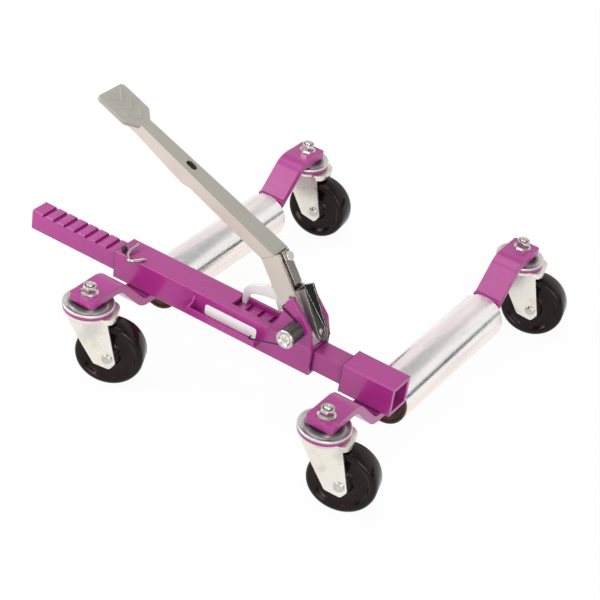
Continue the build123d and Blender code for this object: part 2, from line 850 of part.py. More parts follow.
# Leaf, its bolt and the spacer that stands on the lever's web.
leaf_outer = lever_depth + leaf_proud
leaf_inner = leaf_outer - leaf_t
leaf_x, leaf_z = lever_at(leaf_bolt_at, leaf_inner)
leaf_plane = Plane(origin=(leaf_x, bar_y, leaf_z), x_dir=lever_x_dir, z_dir=lever_y_dir)
leaf_head = leaf_bolt_at + lever_head
with BuildPart() as leaf:
    with BuildSketch(leaf_plane):
        with Locations(((leaf_end - leaf_bolt_at - leaf_head) / 2, 0)):
            Rectangle(leaf_end - leaf_bolt_at + leaf_head, leaf_width)
        Circle(leaf_bolt_dia / 2 + snug_fit, mode=Mode.SUBTRACT)
    extrude(amount=leaf_t)
save(leaf, "leaf")
with BuildPart() as leaf_bolt:
    with BuildSketch(leaf_plane.offset(leaf_t)):
        RegularPolygon(leaf_bolt_flats / 2, 6, major_radius=False)
    extrude(amount=leaf_bolt_head)
    with BuildSketch(leaf_plane.offset(leaf_t)):
        Circle(leaf_bolt_dia / 2)
    extrude(amount=-leaf_t - leaf_bolt_depth)
save(leaf_bolt, "leaf_bolt")
with BuildPart() as leaf_spacer:
    with BuildSketch(leaf_plane):
        Circle(spacer_dia / 2)
    extrude(amount=lever_wall - leaf_inner)
    with BuildSketch(leaf_plane):
        Circle(leaf_bolt_dia / 2 + snug_fit)
    extrude(amount=-leaf_bolt_depth - side_gap, mode=Mode.SUBTRACT)
save(leaf_spacer, "leaf_spacer")

# Drive pawl: dark trough hung on a cross pin; its sides run out into a low rim round the foot.
pawl_half = inner_half - side_gap
with BuildPart() as drive_pawl_pin:
    with BuildSketch(lever_plane):
        with Locations((pawl_pin_along, pawl_pin_across)):
            Circle(pawl_pin_dia / 2)
    extrude(amount=lever_width / 2, both=True)
save(drive_pawl_pin, "drive_pawl_pin")
pawl_lean = math.atan2(pawl_floor_foot - pawl_floor_top, pawl_foot - pawl_top)
floor_angle = math.radians(lever_angle) + pawl_lean
floor_x_dir = (math.cos(floor_angle), 0, math.sin(floor_angle))
floor_x, floor_z = lever_at(pawl_top, pawl_floor_top)
floor_side = Plane(origin=(floor_x, bar_y, floor_z), x_dir=floor_x_dir, z_dir=(0, -1, 0))
floor_plane = Plane(origin=(floor_x, bar_y, floor_z), x_dir=floor_x_dir, z_dir=floor_side.y_dir)
floor_length = (pawl_foot - pawl_top) / math.cos(pawl_lean)


def pawl_at(run, rise):
    along = pawl_top + run * math.cos(pawl_lean) - rise * math.sin(pawl_lean)
    across_it = pawl_floor_top + run * math.sin(pawl_lean) + rise * math.cos(pawl_lean)
    return along, across_it


with BuildPart() as drive_pawl:
    with BuildSketch(lever_plane):
        with BuildLine():
            Polyline(
                (pawl_top, pawl_back),
                (pawl_back_end, pawl_back),
                pawl_at(pawl_neck_run, -pawl_wall),
                pawl_at(floor_length, -pawl_wall),
                pawl_at(floor_length, pawl_rim),
                (pawl_top, pawl_edge_top),
                close=True,
            )
        make_face()
    extrude(amount=pawl_half, both=True)
    with BuildSketch(floor_side):
        with Locations((0, floor_length), (0, -pawl_wall - floor_length)):
            Rectangle(4 * floor_length, 2 * floor_length)
    extrude(amount=pawl_half - pawl_wall, both=True, mode=Mode.SUBTRACT)
    with BuildSketch(floor_plane):
        with Locations((floor_length, 0)):
            Circle(pawl_half)
    extrude(amount=-pawl_wall)
    with BuildSketch(floor_plane):
        with Locations((floor_length, 0)):
            Circle(pawl_half)
            Circle(pawl_half - pawl_wall, mode=Mode.SUBTRACT)
        with Locations((floor_length - pawl_half, 0)):
            Rectangle(2 * pawl_half, 2 * pawl_half, mode=Mode.SUBTRACT)
    extrude(amount=pawl_rim)
    with BuildSketch(floor_plane):
        with Locations((floor_length, 0)):
            Circle(pawl_eye_dia / 2)
    extrude(amount=-pawl_wall, mode=Mode.SUBTRACT)
    with BuildSketch(lever_plane):
        with Locations((pawl_pin_along, pawl_pin_across)):
            Circle(pawl_pin_dia / 2 + run_fit)
    extrude(amount=lever_width, both=True, mode=Mode.SUBTRACT)
save(drive_pawl, "drive_pawl")

# Bright tooth welded behind the foot of the drive pawl.
weld_top = floor_side.from_local_coords((tooth_weld_top, -pawl_wall))
weld_low = floor_side.from_local_coords((tooth_weld_bottom, -pawl_wall))
tooth_back = tooth_front - tooth_tip
with BuildPart() as pawl_tooth:
    with BuildSketch(xz(bar_y)):
        with BuildLine():
            Polyline(
                (tooth_back, tip_z),
                (tooth_front, tip_z),
                (tooth_front, tube_top + tooth_nose_above),
                (tooth_back, tube_top + tooth_shoulder_above),
                (tooth_back - tooth_heel, tube_top + tooth_heel_above),
                close=True,
            )
        make_face()
    extrude(amount=tooth_width / 2, both=True)
    with BuildSketch(xz(bar_y)):
        with BuildLine():
            Polyline(
                (weld_top.X, weld_top.Z),
                (weld_low.X, weld_low.Z),
                (tooth_front, tube_top + tooth_heel_above),
                (tooth_back, tube_top + tooth_heel_above),
                (tooth_back, tube_top + tooth_shoulder_above),
                close=True,
            )
        make_face()
    extrude(amount=pawl_half - pawl_wall - tooth_gap, both=True)
save(pawl_tooth, "pawl_tooth")

# Holding pawl: arched plate over the window, hinged on a pin in the far ear.
hold_y = bar_y + hold_offset
with BuildPart() as holding_pawl:
    with BuildSketch(xz(hold_y)):
        with BuildLine():
            Polyline(
                (window_left + hold_toe, tip_z),
                (window_left + hold_toe_end, tip_z),
                (window_left + hold_ankle, tube_top + hold_ankle_rise),
                (window_left + hold_shin, tube_top + hold_shin_rise),
                (window_left + hold_arch_left, tube_top + hold_arch_left_rise),
                (window_left + hold_arch_right, tube_top + hold_arch_right_rise),
                (hold_pin_x - hold_eye_dia / 2, hold_pin_z),
                (hold_pin_x + hold_eye_dia / 2, hold_pin_z),
                (hold_pin_x + hold_neck, tube_top + hold_neck_rise),
                (window_left + hold_shoulder, tube_top + hold_shoulder_rise),
                (window_left + hold_crown, tube_top + hold_crown_rise),
                (window_left + hold_back, tube_top + hold_back_rise),
                (window_left + hold_knee, tube_top + hold_knee_rise),
                (window_left + hold_toe, tube_top + hold_toe_rise),
                close=True,
            )
        make_face()
        with Locations((hold_pin_x, hold_pin_z)):
            Circle(hold_eye_dia / 2)
            Circle(hold_pin_dia / 2 + run_fit, mode=Mode.SUBTRACT)
    extrude(amount=hold_t / 2, both=True)
save(holding_pawl, "holding_pawl")
hold_near = hold_y - hold_t / 2 - side_gap
with BuildPart() as holding_pawl_pin:
    with BuildSketch(xz(bar_y + ear_out)):
        with Locations((hold_pin_x, hold_pin_z)):
            Circle(hold_pin_dia / 2)
    extrude(amount=bar_y + ear_out - hold_near)
    with BuildSketch(xz(hold_near)):
        with Locations((hold_pin_x, hold_pin_z)):
            Circle(hold_head_dia / 2)
    extrude(amount=hold_head_t)
save(holding_pawl_pin, "holding_pawl_pin")

# Lock pin: bent rod whose end drops through the housing's top, and its rubber boot.
lie_z = tube_top + lock_lie + lock_dia / 2
with BuildPart() as lock_pin:
    with BuildLine():
        FilletPolyline(
            (lock_x, lock_y, tip_z),
            (lock_x, lock_y, lie_z),
            (lock_x - lock_loop_left, lock_y - lock_loop_out, lie_z),
            (lock_x - lock_pull_left, lock_y - lock_pull_out, lie_z + lock_pull_rise),
            (lock_x - lock_pull_left, lock_y + lock_hook_in, lie_z + lock_hook_rise),
            radius=(lock_bend, lock_loop_bend, lock_pull_bend),
        )
    with BuildSketch(Plane.XY.offset(tip_z)):
        with Locations((lock_x, lock_y)):
            Circle(lock_dia / 2)
    sweep()
save(lock_pin, "lock_pin")
boot_z = tube_top + boot_dia / 2
with BuildPart() as lock_boot:
    with BuildSketch(Plane.YZ.offset(boot_x)):
        with Locations((boot_y, boot_z)):
            Circle(boot_dia / 2)
        with Locations((boot_y, boot_z - boot_dia / 4)):
            Rectangle(boot_dia, boot_dia / 2)
    extrude(amount=boot_length)
    fillet(lock_boot.edges().filter_by(GeomType.CIRCLE).group_by(Axis.X)[0], boot_ring)
save(lock_boot, "lock_boot")

# Casters: swivelling fork on a kingpin, riveted axle, moulded wheel.
crown_bottom = caster_height - race_t
flange_top = caster_height - race_step
flange_bottom = flange_top - race_t
band_bottom = flange_bottom - band_height
fork_top = band_bottom - side_gap
fork_under = fork_top - fork_plate_t
head_top = fork_under - side_gap
leg_in = wheel_width / 2 + fork_leg_gap
leg_out = leg_in + fork_leg_t
nut_top = plate_top + nut_flange_t + nut_height
race_r = race_dia / 2
crown_r = race_crown_dia / 2
pin_r = kingpin_dia / 2 + snug_fit
for side_name, side_x in (("left", left_x), ("right", right_x)):
    spots = [(side_x, near_y), (side_x, far_y)]
    with BuildPart() as races:
        for spot_x, spot_y in spots:
            with BuildSketch(Plane.XZ.offset(-spot_y)):
                with BuildLine():
                    Polyline(
                        (spot_x + pin_r, caster_height),
                        (spot_x + crown_r, caster_height),
                        (spot_x + crown_r + race_step, flange_top),
                        (spot_x + race_r, flange_top),
                        (spot_x + race_r, flange_bottom),
                        (spot_x + crown_r + race_step - race_t / 2, flange_bottom),
                        (spot_x + crown_r - race_t / 2, crown_bottom),
                        (spot_x + pin_r, crown_bottom),
                        close=True,
                    )
                make_face()
            revolve(axis=Axis((spot_x, spot_y, 0), (0, 0, 1)))
    save(races, f"{side_name}_caster_races")
    with BuildPart() as bands:
        with BuildSketch(Plane.XY.offset(band_bottom)):
            with Locations(*spots):
                Circle(race_r - side_gap)
                Circle(race_r - side_gap - band_t, mode=Mode.SUBTRACT)
        extrude(amount=band_height)
    save(bands, f"{side_name}_caster_bands")
    with BuildPart() as thrust_rings:
        with BuildSketch(Plane.XY.offset(crown_bottom)):
            with Locations(*spots):
                Circle(thrust_dia / 2)
                Circle(thrust_bore / 2, mode=Mode.SUBTRACT)
        extrude(amount=fork_top + side_gap - crown_bottom)
    save(thrust_rings, f"{side_name}_thrust_rings")
    with BuildPart() as kingpins:
        with BuildSketch(Plane.XY.offset(head_top)):
            with Locations(*spots):
                Circle(kingpin_head_dia / 2)
        extrude(amount=-kingpin_head_t)
        with BuildSketch(Plane.XY.offset(head_top)):
            with Locations(*spots):
                Circle(kingpin_dia / 2)
        extrude(amount=nut_top + kingpin_tip - head_top)
    save(kingpins, f"{side_name}_kingpins")
    with BuildPart() as nuts:
        with BuildSketch(Plane.XY.offset(plate_top)):
            with Locations(*spots):
                Circle(nut_flange_dia / 2)
        extrude(amount=nut_flange_t)
        with BuildSketch(Plane.XY.offset(plate_top + nut_flange_t)):
            with Locations(*spots):
                RegularPolygon(nut_flats / 2, 6, major_radius=False)
        extrude(amount=nut_height)
        with BuildSketch(Plane.XY.offset(plate_top)):
            with Locations(*spots):
                Circle(pin_r)
        extrude(amount=nut_flange_t + nut_height, mode=Mode.SUBTRACT)
    save(nuts, f"{side_name}_caster_nuts")

corners = {"nl": (left_x, near_y), "nr": (right_x, near_y), "fl": (left_x, far_y), "fr": (right_x, far_y)}
for name, (spot_x, spot_y) in corners.items():
    turn = math.radians(swivel_rest[name])
    ahead = (math.cos(turn), math.sin(turn), 0)
    beside = (-math.sin(turn), math.cos(turn), 0)
    level = Plane(origin=(spot_x, spot_y, 0), x_dir=ahead, z_dir=(0, 0, 1))
    side_plane = Plane(origin=(spot_x, spot_y, 0), x_dir=ahead, z_dir=(-beside[0], -beside[1], 0))
    axle_at = (spot_x + trail * ahead[0], spot_y + trail * ahead[1], wheel_r)
    hub_plane = Plane(origin=axle_at, x_dir=beside, z_dir=ahead)
    with BuildPart() as fork:
        with BuildSketch(level.offset(fork_under)):
            with Locations((fork_nose / 2, 0)):
                RectangleRounded(fork_nose, 2 * leg_out, fork_corner)
            Circle(fork_plate_dia / 2)
            Circle(kingpin_dia / 2 + run_fit, mode=Mode.SUBTRACT)
        extrude(amount=fork_plate_t)
        with BuildSketch(level.offset(fork_under)):
            with Locations((fork_nose / 2, 0)):
                RectangleRounded(fork_nose, 2 * leg_out, fork_corner)
                RectangleRounded(
                    fork_nose - 2 * fork_leg_t, 2 * leg_in, fork_corner - fork_leg_t, mode=Mode.SUBTRACT
                )
            with Locations((fork_nose / 2 - fork_corner, 0)):
                Rectangle(fork_nose, 2 * fork_plate_dia, mode=Mode.SUBTRACT)
        extrude(amount=-fork_skirt)
        for way in (-1, 1):
            with BuildSketch(side_plane.offset(way * leg_out)) as leg:
                with BuildLine():
                    Polyline(
                        (-fork_heel, fork_under),
                        (-fork_waist, wheel_r + fork_waist_above),
                        (trail - fork_shin, wheel_r - fork_shin_below),
                        (trail + fork_sole, wheel_r - fork_sole_below),
                        (trail + fork_toe, wheel_r - fork_toe_below),
                        (fork_nose - fork_lap, fork_under),
                        close=True,
                    )
                make_face()
                fillet(leg.vertices().sort_by(Axis.Y)[:3], fork_round)
                with Locations((trail, wheel_r)):
                    Circle(wheel_axle_dia / 2 + snug_fit, mode=Mode.SUBTRACT)
            extrude(amount=-way * fork_leg_t)
    save(fork, f"{name}_fork")
    with BuildPart() as wheel_axle:
        with BuildSketch(side_plane):
            with Locations((trail, wheel_r)):
                Circle(wheel_axle_dia / 2)
        extrude(amount=leg_out + axle_head_t, both=True)
        for way in (-1, 1):
            with BuildSketch(side_plane.offset(way * leg_out)):
                with Locations((trail, wheel_r)):
                    Circle(axle_head_dia / 2)
            extrude(amount=way * axle_head_t)
    save(wheel_axle, f"{name}_wheel_axle")
    half = wheel_width / 2
    rim_r = wheel_r - wheel_rim
    hub_r = hub_dia / 2
    dish = half - wheel_dish
    with BuildPart() as wheel:
        with BuildSketch(hub_plane) as section:
            with BuildLine():
                Polyline(
                    (-half - hub_proud, wheel_axle_dia / 2 + run_fit),
                    (-half - hub_proud, hub_r),
                    (-dish, hub_r + wheel_web_taper),
                    (-dish, rim_r - wheel_web_taper),
                    (-half, rim_r),
                    (-half, wheel_r),
                    (half, wheel_r),
                    (half, rim_r),
                    (dish, rim_r - wheel_web_taper),
                    (dish, hub_r + wheel_web_taper),
                    (half + hub_proud, hub_r),
                    (half + hub_proud, wheel_axle_dia / 2 + run_fit),
                    close=True,
                )
            make_face()
            fillet(section.vertices().group_by(Axis.Y)[-1], wheel_shoulder)
        revolve(axis=Axis(axle_at, beside))
    save(wheel, f"{name}_wheel")
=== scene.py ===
import json
import math
import bmesh
import bpy
from mathutils import Matrix, Vector


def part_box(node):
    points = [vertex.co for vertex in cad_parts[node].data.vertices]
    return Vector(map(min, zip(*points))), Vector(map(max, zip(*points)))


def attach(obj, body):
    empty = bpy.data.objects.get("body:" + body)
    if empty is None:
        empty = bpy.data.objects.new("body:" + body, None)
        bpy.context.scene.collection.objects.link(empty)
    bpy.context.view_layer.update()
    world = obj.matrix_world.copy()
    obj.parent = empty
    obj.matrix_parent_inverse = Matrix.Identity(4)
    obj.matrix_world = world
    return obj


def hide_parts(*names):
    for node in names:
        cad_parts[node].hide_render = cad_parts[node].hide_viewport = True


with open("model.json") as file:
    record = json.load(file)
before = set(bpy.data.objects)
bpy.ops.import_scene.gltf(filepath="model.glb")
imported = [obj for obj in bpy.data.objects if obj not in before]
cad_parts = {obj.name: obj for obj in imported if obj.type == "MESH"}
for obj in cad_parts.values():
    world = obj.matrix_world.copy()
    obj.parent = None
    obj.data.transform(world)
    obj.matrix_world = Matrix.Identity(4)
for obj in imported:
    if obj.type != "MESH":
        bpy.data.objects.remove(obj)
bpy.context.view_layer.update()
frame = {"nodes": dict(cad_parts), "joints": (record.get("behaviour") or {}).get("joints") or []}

# The camera looks down on the jack from the pedal side, a little rolled, as if held by hand.
# Its place, its turn and its lens were fitted to points of the picture, in pixels of its frame.
scene = bpy.context.scene
scene.view_settings.view_transform = "Standard"
camera_azimuth = math.radians(28.303)
camera_height = math.radians(34.424)
camera_roll = math.radians(9.251)
camera_place = Vector((1.0561, -1.9951, 1.6290))
sensor_width = 36
focal_pixels = 1806.585
frame_pixels = 600
back = Vector((
    math.sin(camera_azimuth) * math.cos(camera_height),
    -math.cos(camera_azimuth) * math.cos(camera_height),
    math.sin(camera_height),
))
level = Vector((0, 0, 1)).cross(back).normalized()
upright = back.cross(level)
right = level * math.cos(camera_roll) + upright * math.sin(camera_roll)
up = upright * math.cos(camera_roll) - level * math.sin(camera_roll)
camera_data = bpy.data.cameras.new("camera")
camera_data.sensor_width = sensor_width
camera_data.lens = sensor_width * focal_pixels / frame_pixels
camera = bpy.data.objects.new("camera", camera_data)
camera_turn = Matrix((right, up, back)).transposed().to_4x4()
camera.matrix_world = Matrix.Translation(camera_place) @ camera_turn
scene.collection.objects.link(camera)
scene.camera = camera


# The light is that of a white studio room with a grey ceiling, and of four soft lamps.
# Two dark cards and two windows stand round the jack for its plated pieces: they give the rollers,
# the nuts and the races their dark and their bright streaks.
class Link:
    """A shader socket, or the start of a node tree, that sums and products can be written with."""

    def __init__(self, tree, socket=None):
        self.tree = tree
        self.socket = socket

    def node(self, kind, settings=None, inputs=None, out=0):
        made = self.tree.nodes.new(kind)
        for name, value in (settings or {}).items():
            if name == "stops":
                ramp = made.color_ramp
                while len(ramp.elements) < len(value):
                    ramp.elements.new(1.0)
                for element, (place, colour) in zip(ramp.elements, value):
                    element.position = place
                    element.color = (*colour, 1)
            else:
                setattr(made, name, value)
        for name, value in (inputs or {}).items():
            if isinstance(value, Link):
                self.tree.links.new(value.socket, made.inputs[name])
            else:
                made.inputs[name].default_value = value
        return Link(self.tree, made.outputs[out] if made.outputs else None)

    def maths(self, operation, first, second):
        return self.node("ShaderNodeMath", {"operation": operation}, {0: first, 1: second})

    def __add__(self, other):
        return self.maths("ADD", self, other)

    __radd__ = __add__

    def __mul__(self, other):
        return self.maths("MULTIPLY", self, other)

    __rmul__ = __mul__

    def __sub__(self, other):
        return self.maths("SUBTRACT", self, other)

    def __rsub__(self, other):
        return self.maths("SUBTRACT", other, self)

    def most(self, other):
        return self.maths("MAXIMUM", self, other)


def rays(start, *kinds):
    """One where the ray is of any of these kinds, else nought."""
    share = start.node("ShaderNodeLightPath", out=kinds[0])
    for kind in kinds[1:]:
        share = share.most(start.node("ShaderNodeLightPath", out=kind))
    return share


def past(value, start, end):
    """Nought before start, one after end, with a soft step between."""
    step = {"interpolation_type": "SMOOTHSTEP"}
    return value.node("ShaderNodeMapRange", step, {0: value, 1: start, 2: end})


def laid(amount, under, over):
    """The over colour laid on the under one, as thick as amount says."""
    under = under if isinstance(under, Link) else (*under, 1)
    colours = {0: amount, 6: under, 7: (*over, 1)}
    return amount.node("ShaderNodeMix", {"data_type": "RGBA"}, colours, out=2)


world = bpy.data.worlds.new("studio")
scene.world = world
world.use_nodes = True
world.node_tree.nodes.clear()
sky = Link(world.node_tree)
sky_way = sky.node("ShaderNodeTexCoord", out="Generated")
sky_side, sky_depth, sky_rise = (
    sky.node("ShaderNodeSeparateXYZ", inputs={0: sky_way}, out=axis) for axis in "XYZ"
)
left_wall = 1 - past(sky_side, -0.15, 0.30)
ceiling = past(sky_rise, 0.60, 0.68)
near_wall = 1 - past(sky_depth, -0.35, 0.05)
right_card = (
    (past(sky_rise, 0.01, 0.04) - past(sky_rise, 0.17, 0.24)) * past(sky_side, 0.42, 0.60)
)
left_card = (
    (past(sky_rise, 0.0, 0.03) - past(sky_rise, 0.40, 0.50))
    * (1 - past(sky_side, -0.76, -0.60)) * (1 - past(sky_depth, 0.30, 0.50))
)
right_window = (
    past(sky_side, 0.50, 0.62) * past(sky_rise, 0.01, 0.06)
    * (1 - past(sky_rise, 0.46, 0.54)) * (1 - past(sky_depth, -0.5, -0.4))
)
near_window = (
    (1 - past(sky_side, -0.22, -0.12)) * past(sky_rise, 0.58, 0.66)
    * (1 - past(sky_depth, -0.52, -0.44))
)
sky_colour = (0.97, 0.96, 0.95)
for patch, colour in (
    (left_wall, (0.93, 0.88, 0.87)),
    (ceiling, (0.47, 0.49, 0.50)),
    (near_wall, (0.98, 0.98, 0.97)),
    (right_card, (0.03, 0.03, 0.035)),
    (left_card, (0.08, 0.08, 0.08)),
    (right_window, (6.0, 6.0, 5.9)),
    (near_window, (2.8, 2.8, 2.7)),
    (rays(sky, "Is Camera Ray"), (1, 1, 1)),
):
    sky_colour = laid(patch, sky_colour, colour)
sky_light = sky.node("ShaderNodeBackground", inputs={0: sky_colour, 1: 1.0})
sky.node("ShaderNodeOutputWorld", inputs={0: sky_light})

lamp_aim = Vector((0, 0, 0.1))
for lamp_name, place, size, power in (
    ("left_box", (-1.25, -0.95, 0.95), 1.0, 9),
    ("left_strip", (-0.80, -0.50, 0.60), 0.35, 1.2),
    ("top_box", (-0.4, 0.3, 2.4), 1.8, 14),
    ("front_strip", (1.45, -1.1, 1.5), 0.22, 3),
):
    lamp_data = bpy.data.lights.new(lamp_name, "AREA")
    lamp_data.shape = "DISK"
    lamp_data.size = size
    lamp_data.energy = power
    lamp = bpy.data.objects.new(lamp_name, lamp_data)
    lamp.location = place
    lamp.rotation_euler = (lamp_aim - Vector(place)).to_track_quat("-Z", "Y").to_euler()
    scene.collection.objects.link(lamp)


# The floor is one plain pale sheet, so wide that its edge is never seen.
# It is white to the camera and in what shines, and matt to all other light, so that it still
# takes the jack's soft shadow.
def new_mesh(name, points, faces, smooth=True):
    mesh = bpy.data.meshes.new(name)
    mesh.from_pydata([tuple(p) for p in points], [], faces)
    mesh.validate()
    if smooth:
        mesh.shade_smooth()
    made = bpy.data.objects.new(name, mesh)
    scene.collection.objects.link(made)
    return made


floor_half = 30.0
floor_level = -0.0004
floor_white = 0.95
four_corners = ((-1, -1), (1, -1), (1, 1), (-1, 1))
floor = new_mesh(
    "floor", [(a * floor_half, b * floor_half, floor_level) for a, b in four_corners],
    [(0, 1, 2, 3)],
)
floor_paint = bpy.data.materials.new("floor_paint")
floor_paint.use_nodes = True
floor_paint.node_tree.nodes.clear()
ground = Link(floor_paint.node_tree)
ground_seen = rays(ground, "Is Camera Ray", "Is Glossy Ray", "Is Transmission Ray")
ground_mix = ground.node("ShaderNodeMixShader", inputs={
    0: ground_seen * floor_white,
    1: ground.node("ShaderNodeBsdfDiffuse", inputs={0: (0.80, 0.80, 0.80, 1)}),
    2: ground.node("ShaderNodeEmission", inputs={0: (1, 1, 1, 1), 1: 1.0}),
})
ground.node("ShaderNodeOutputMaterial", inputs={0: ground_mix})
floor.data.materials.append(floor_paint)


# The square tubes, the bar, the bent straps, the ears and the side guard are mild steel.
# They are sawn, bent and welded, then sprayed with a thick glossy purple enamel,
# which softens every edge and has a faint orange-peel skin.
class Finish(Link):
    """One material: its node tree, the place on the piece, and the shader that is painted."""

    def __init__(self, name):
        self.material = bpy.data.materials.new(name)
        self.material.use_nodes = True
        super().__init__(self.material.node_tree)
        self.tree.nodes.clear()
        painted = self.node("ShaderNodeBsdfPrincipled")
        self.shader = painted.socket.node
        self.node("ShaderNodeOutputMaterial", inputs={0: painted})
        self.place = self.node("ShaderNodeTexCoord", out="Object")

    def speckle(self, scale, detail=3.0, stretch=(1, 1, 1)):
        times = {"operation": "MULTIPLY"}
        spot = self.node("ShaderNodeVectorMath", times, {0: self.place, 1: stretch})
        return self.node("ShaderNodeTexNoise", inputs={
            "Vector": spot, "Scale": scale, "Detail": detail, "Roughness": 0.55,
        })

    def relief(self, height, depth):
        return self.node("ShaderNodeBump", inputs={
            "Height": height, "Distance": depth, "Strength": 1.0,
        })

    def brush(self, **sockets):
        for name, value in sockets.items():
            socket = self.shader.inputs[name.replace("_", " ")]
            if isinstance(value, Link):
                self.tree.links.new(value.socket, socket)
            else:
                socket.default_value = value
        return self.material


enamel = Finish("purple_enamel")
enamel_cloud = enamel.speckle(9.0)
enamel_peel = enamel.speckle(900.0, 2.0)
purple_enamel = enamel.brush(
    Base_Color=laid(enamel_cloud, (0.29, 0.019, 0.180), (0.34, 0.025, 0.208)),
    Roughness=enamel_cloud * 0.12 + 0.22,
    Specular_IOR_Level=0.5,
    Coat_Weight=0.28,
    Coat_Roughness=0.10,
    Normal=enamel.relief(enamel_peel, 0.00008),
)


def dress(piece, finish, body, node=None):
    """Gives a piece its finish, the body that carries it, and the solid it stands for."""
    piece.data.materials.append(finish)
    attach(piece, body)
    if node is not None:
        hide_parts(node)


def softened(node, width, finish, body, segments=3, angle=28, edge=None, spots=None):
    """A copy of a solid whose sharp edges are rounded, as paint, plating or a press leaves them.

    The rounded edges may have a finish of their own, and so may the faces that a rule picks.
    """
    same_point = 2e-6
    same_plane = math.radians(1.0)
    bm = bmesh.new()
    bm.from_mesh(frame["nodes"][node].data)
    bmesh.ops.remove_doubles(bm, verts=bm.verts, dist=same_point)
    bmesh.ops.dissolve_limit(bm, angle_limit=same_plane, verts=bm.verts, edges=bm.edges)
    mesh = bpy.data.meshes.new(node + "_shape")
    bm.to_mesh(mesh)
    bm.free()
    mesh.shade_smooth()
    made = bpy.data.objects.new(node + "_shape", mesh)
    scene.collection.objects.link(made)
    rounding = made.modifiers.new("rounding", "BEVEL")
    rounding.width = width
    rounding.segments = segments
    rounding.limit_method = "ANGLE"
    rounding.angle_limit = math.radians(angle)
    rounding.use_clamp_overlap = True
    rounding.harden_normals = True
    shading = made.modifiers.new("shading", "WEIGHTED_NORMAL")
    shading.keep_sharp = True
    dress(made, finish, body, node)
    if edge is not None:
        mesh.materials.append(edge)
        rounding.material = 1
    if spots is not None:
        spot_finish, is_spot = spots
        mesh.materials.append(spot_finish)
        for face in mesh.polygons:
            if is_spot(face):
                face.material_index = len(mesh.materials) - 1


enamel_edges = {
    "main_housing": ("housing", 0.0006),
    "near_ear": ("housing", 0.0024),
    "far_ear": ("housing", 0.0017),
    "side_guard": ("housing", 0.0007),
    "left_near_strap": ("housing", 0.0012),
    "left_far_strap": ("housing", 0.0012),
    "left_end_plate": ("housing", 0.0008),
    "ratchet_bar": ("bar", 0.0004),
    "right_sleeve": ("bar", 0.0006),
    "right_near_strap": ("bar", 0.0012),
    "right_far_strap": ("bar", 0.0012),
    "right_end_plate": ("bar", 0.0008),
}
for node, (body, width) in enamel_edges.items():
    softened(node, width, purple_enamel, body)


# The swivel bands under the upper races are steel rings, turned to size.
# They close the ball track of each caster and are sprayed together with the straps.
def skin(rings, around, wrap=False, first=0):
    """Faces over rings of points that follow one another, with caps unless the rings wrap round."""
    faces = []
    for i in range(rings if wrap else rings - 1):
        here = first + i * around
        there = first + (i + 1) % rings * around
        for k in range(around):
            after = (k + 1) % around
            faces.append((here + k, here + after, there + after, there + k))
    if not wrap:
        last = first + (rings - 1) * around
        faces.append(tuple(first + k for k in reversed(range(around))))
        faces.append(tuple(last + k for k in range(around)))
    return faces


def rounded(section, radius):
    """The closed section with each corner drawn as a small arc."""
    steps = 4
    longest = 0.45
    points = [Vector((along, out, 0)) for along, out in section]
    arcs = []
    for i, corner in enumerate(points):
        to_last = points[i - 1] - corner
        to_next = points[(i + 1) % len(points)] - corner
        reach = min(
            radius / math.tan(to_last.angle(to_next) / 2),
            to_last.length * longest, to_next.length * longest,
        )
        start = corner + to_last.normalized() * reach
        end = corner + to_next.normalized() * reach
        for step in range(steps + 1):
            t = step / steps
            spot = start * (1 - t) ** 2 + corner * 2 * t * (1 - t) + end * t ** 2
            arcs.append((spot.x, spot.y))
    return arcs


def turned(name, sections, segments=96):
    """Closed (along, radius) sections turned round (centre, axis), all in one piece."""
    points = []
    faces = []
    for section, centre, axis in sections:
        axis = Vector(axis).normalized()
        side = axis.orthogonal().normalized()
        other = axis.cross(side)
        faces += skin(segments, len(section), True, len(points))
        for k in range(segments):
            angle = 2 * math.pi * k / segments
            out = side * math.cos(angle) + other * math.sin(angle)
            points += [Vector(centre) + axis * along + out * radius for along, radius in section]
    made = new_mesh(name, points, faces)
    bm = bmesh.new()
    bm.from_mesh(made.data)
    bmesh.ops.recalc_face_normals(bm, faces=bm.faces)
    bm.to_mesh(made.data)
    bm.free()
    return made


caster_x = 0.2032
caster_y = 0.285
sides = (("left", -caster_x, "housing"), ("right", caster_x, "bar"))


def at_both_casters(section, x):
    """The section at the near and at the far caster of one side, round the upright."""
    return [(section, (x, y, 0), (0, 0, 1)) for y in (-caster_y, caster_y)]


band_inner = 0.0335
band_outer = 0.0375
band_corner = 0.0012
band_gap = 0.0004
for side, x, body in sides:
    low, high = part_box(f"{side}_caster_bands")
    crest = high.z - band_gap
    band = rounded([
        (low.z, band_inner), (low.z, band_outer), (crest, band_outer), (crest, band_inner),
    ], band_corner)
    bands = turned(f"{side}_swivel_bands", at_both_casters(band, x))
    dress(bands, purple_enamel, body, f"{side}_caster_bands")


# The welds that hold straps, tubes, ears and guard together are beads of melted mild steel.
# They are laid by hand in short overlapping ripples and sprayed over with the rest.
# Beside the tubes they are painted dark, as painted shade in the crease where strap and tube meet.
def clouded(name, scale, dark, pale, rough, depth, detail=3.0, stretch=(1, 1, 1), **fixed):
    """A finish whose colour, roughness and skin all follow one cloud."""
    finish = Finish(name)
    cloud = finish.speckle(scale, detail, stretch)
    least, most = rough
    return finish.brush(
        Base_Color=laid(cloud, dark, pale),
        Roughness=cloud * (most - least) + least,
        Normal=finish.relief(cloud, depth),
        **fixed,
    )


# A dark purple used as painted shade: on the beads under the tubes, in the notch roots and round
# the bar at the tube mouths.
painted_shade_enamel = clouded(
    "painted_shade_enamel", scale=120.0, dark=(0.045, 0.006, 0.030), pale=(0.095, 0.010, 0.060),
    rough=(0.45, 0.65), depth=0.0001, Specular_IOR_Level=0.2,
)


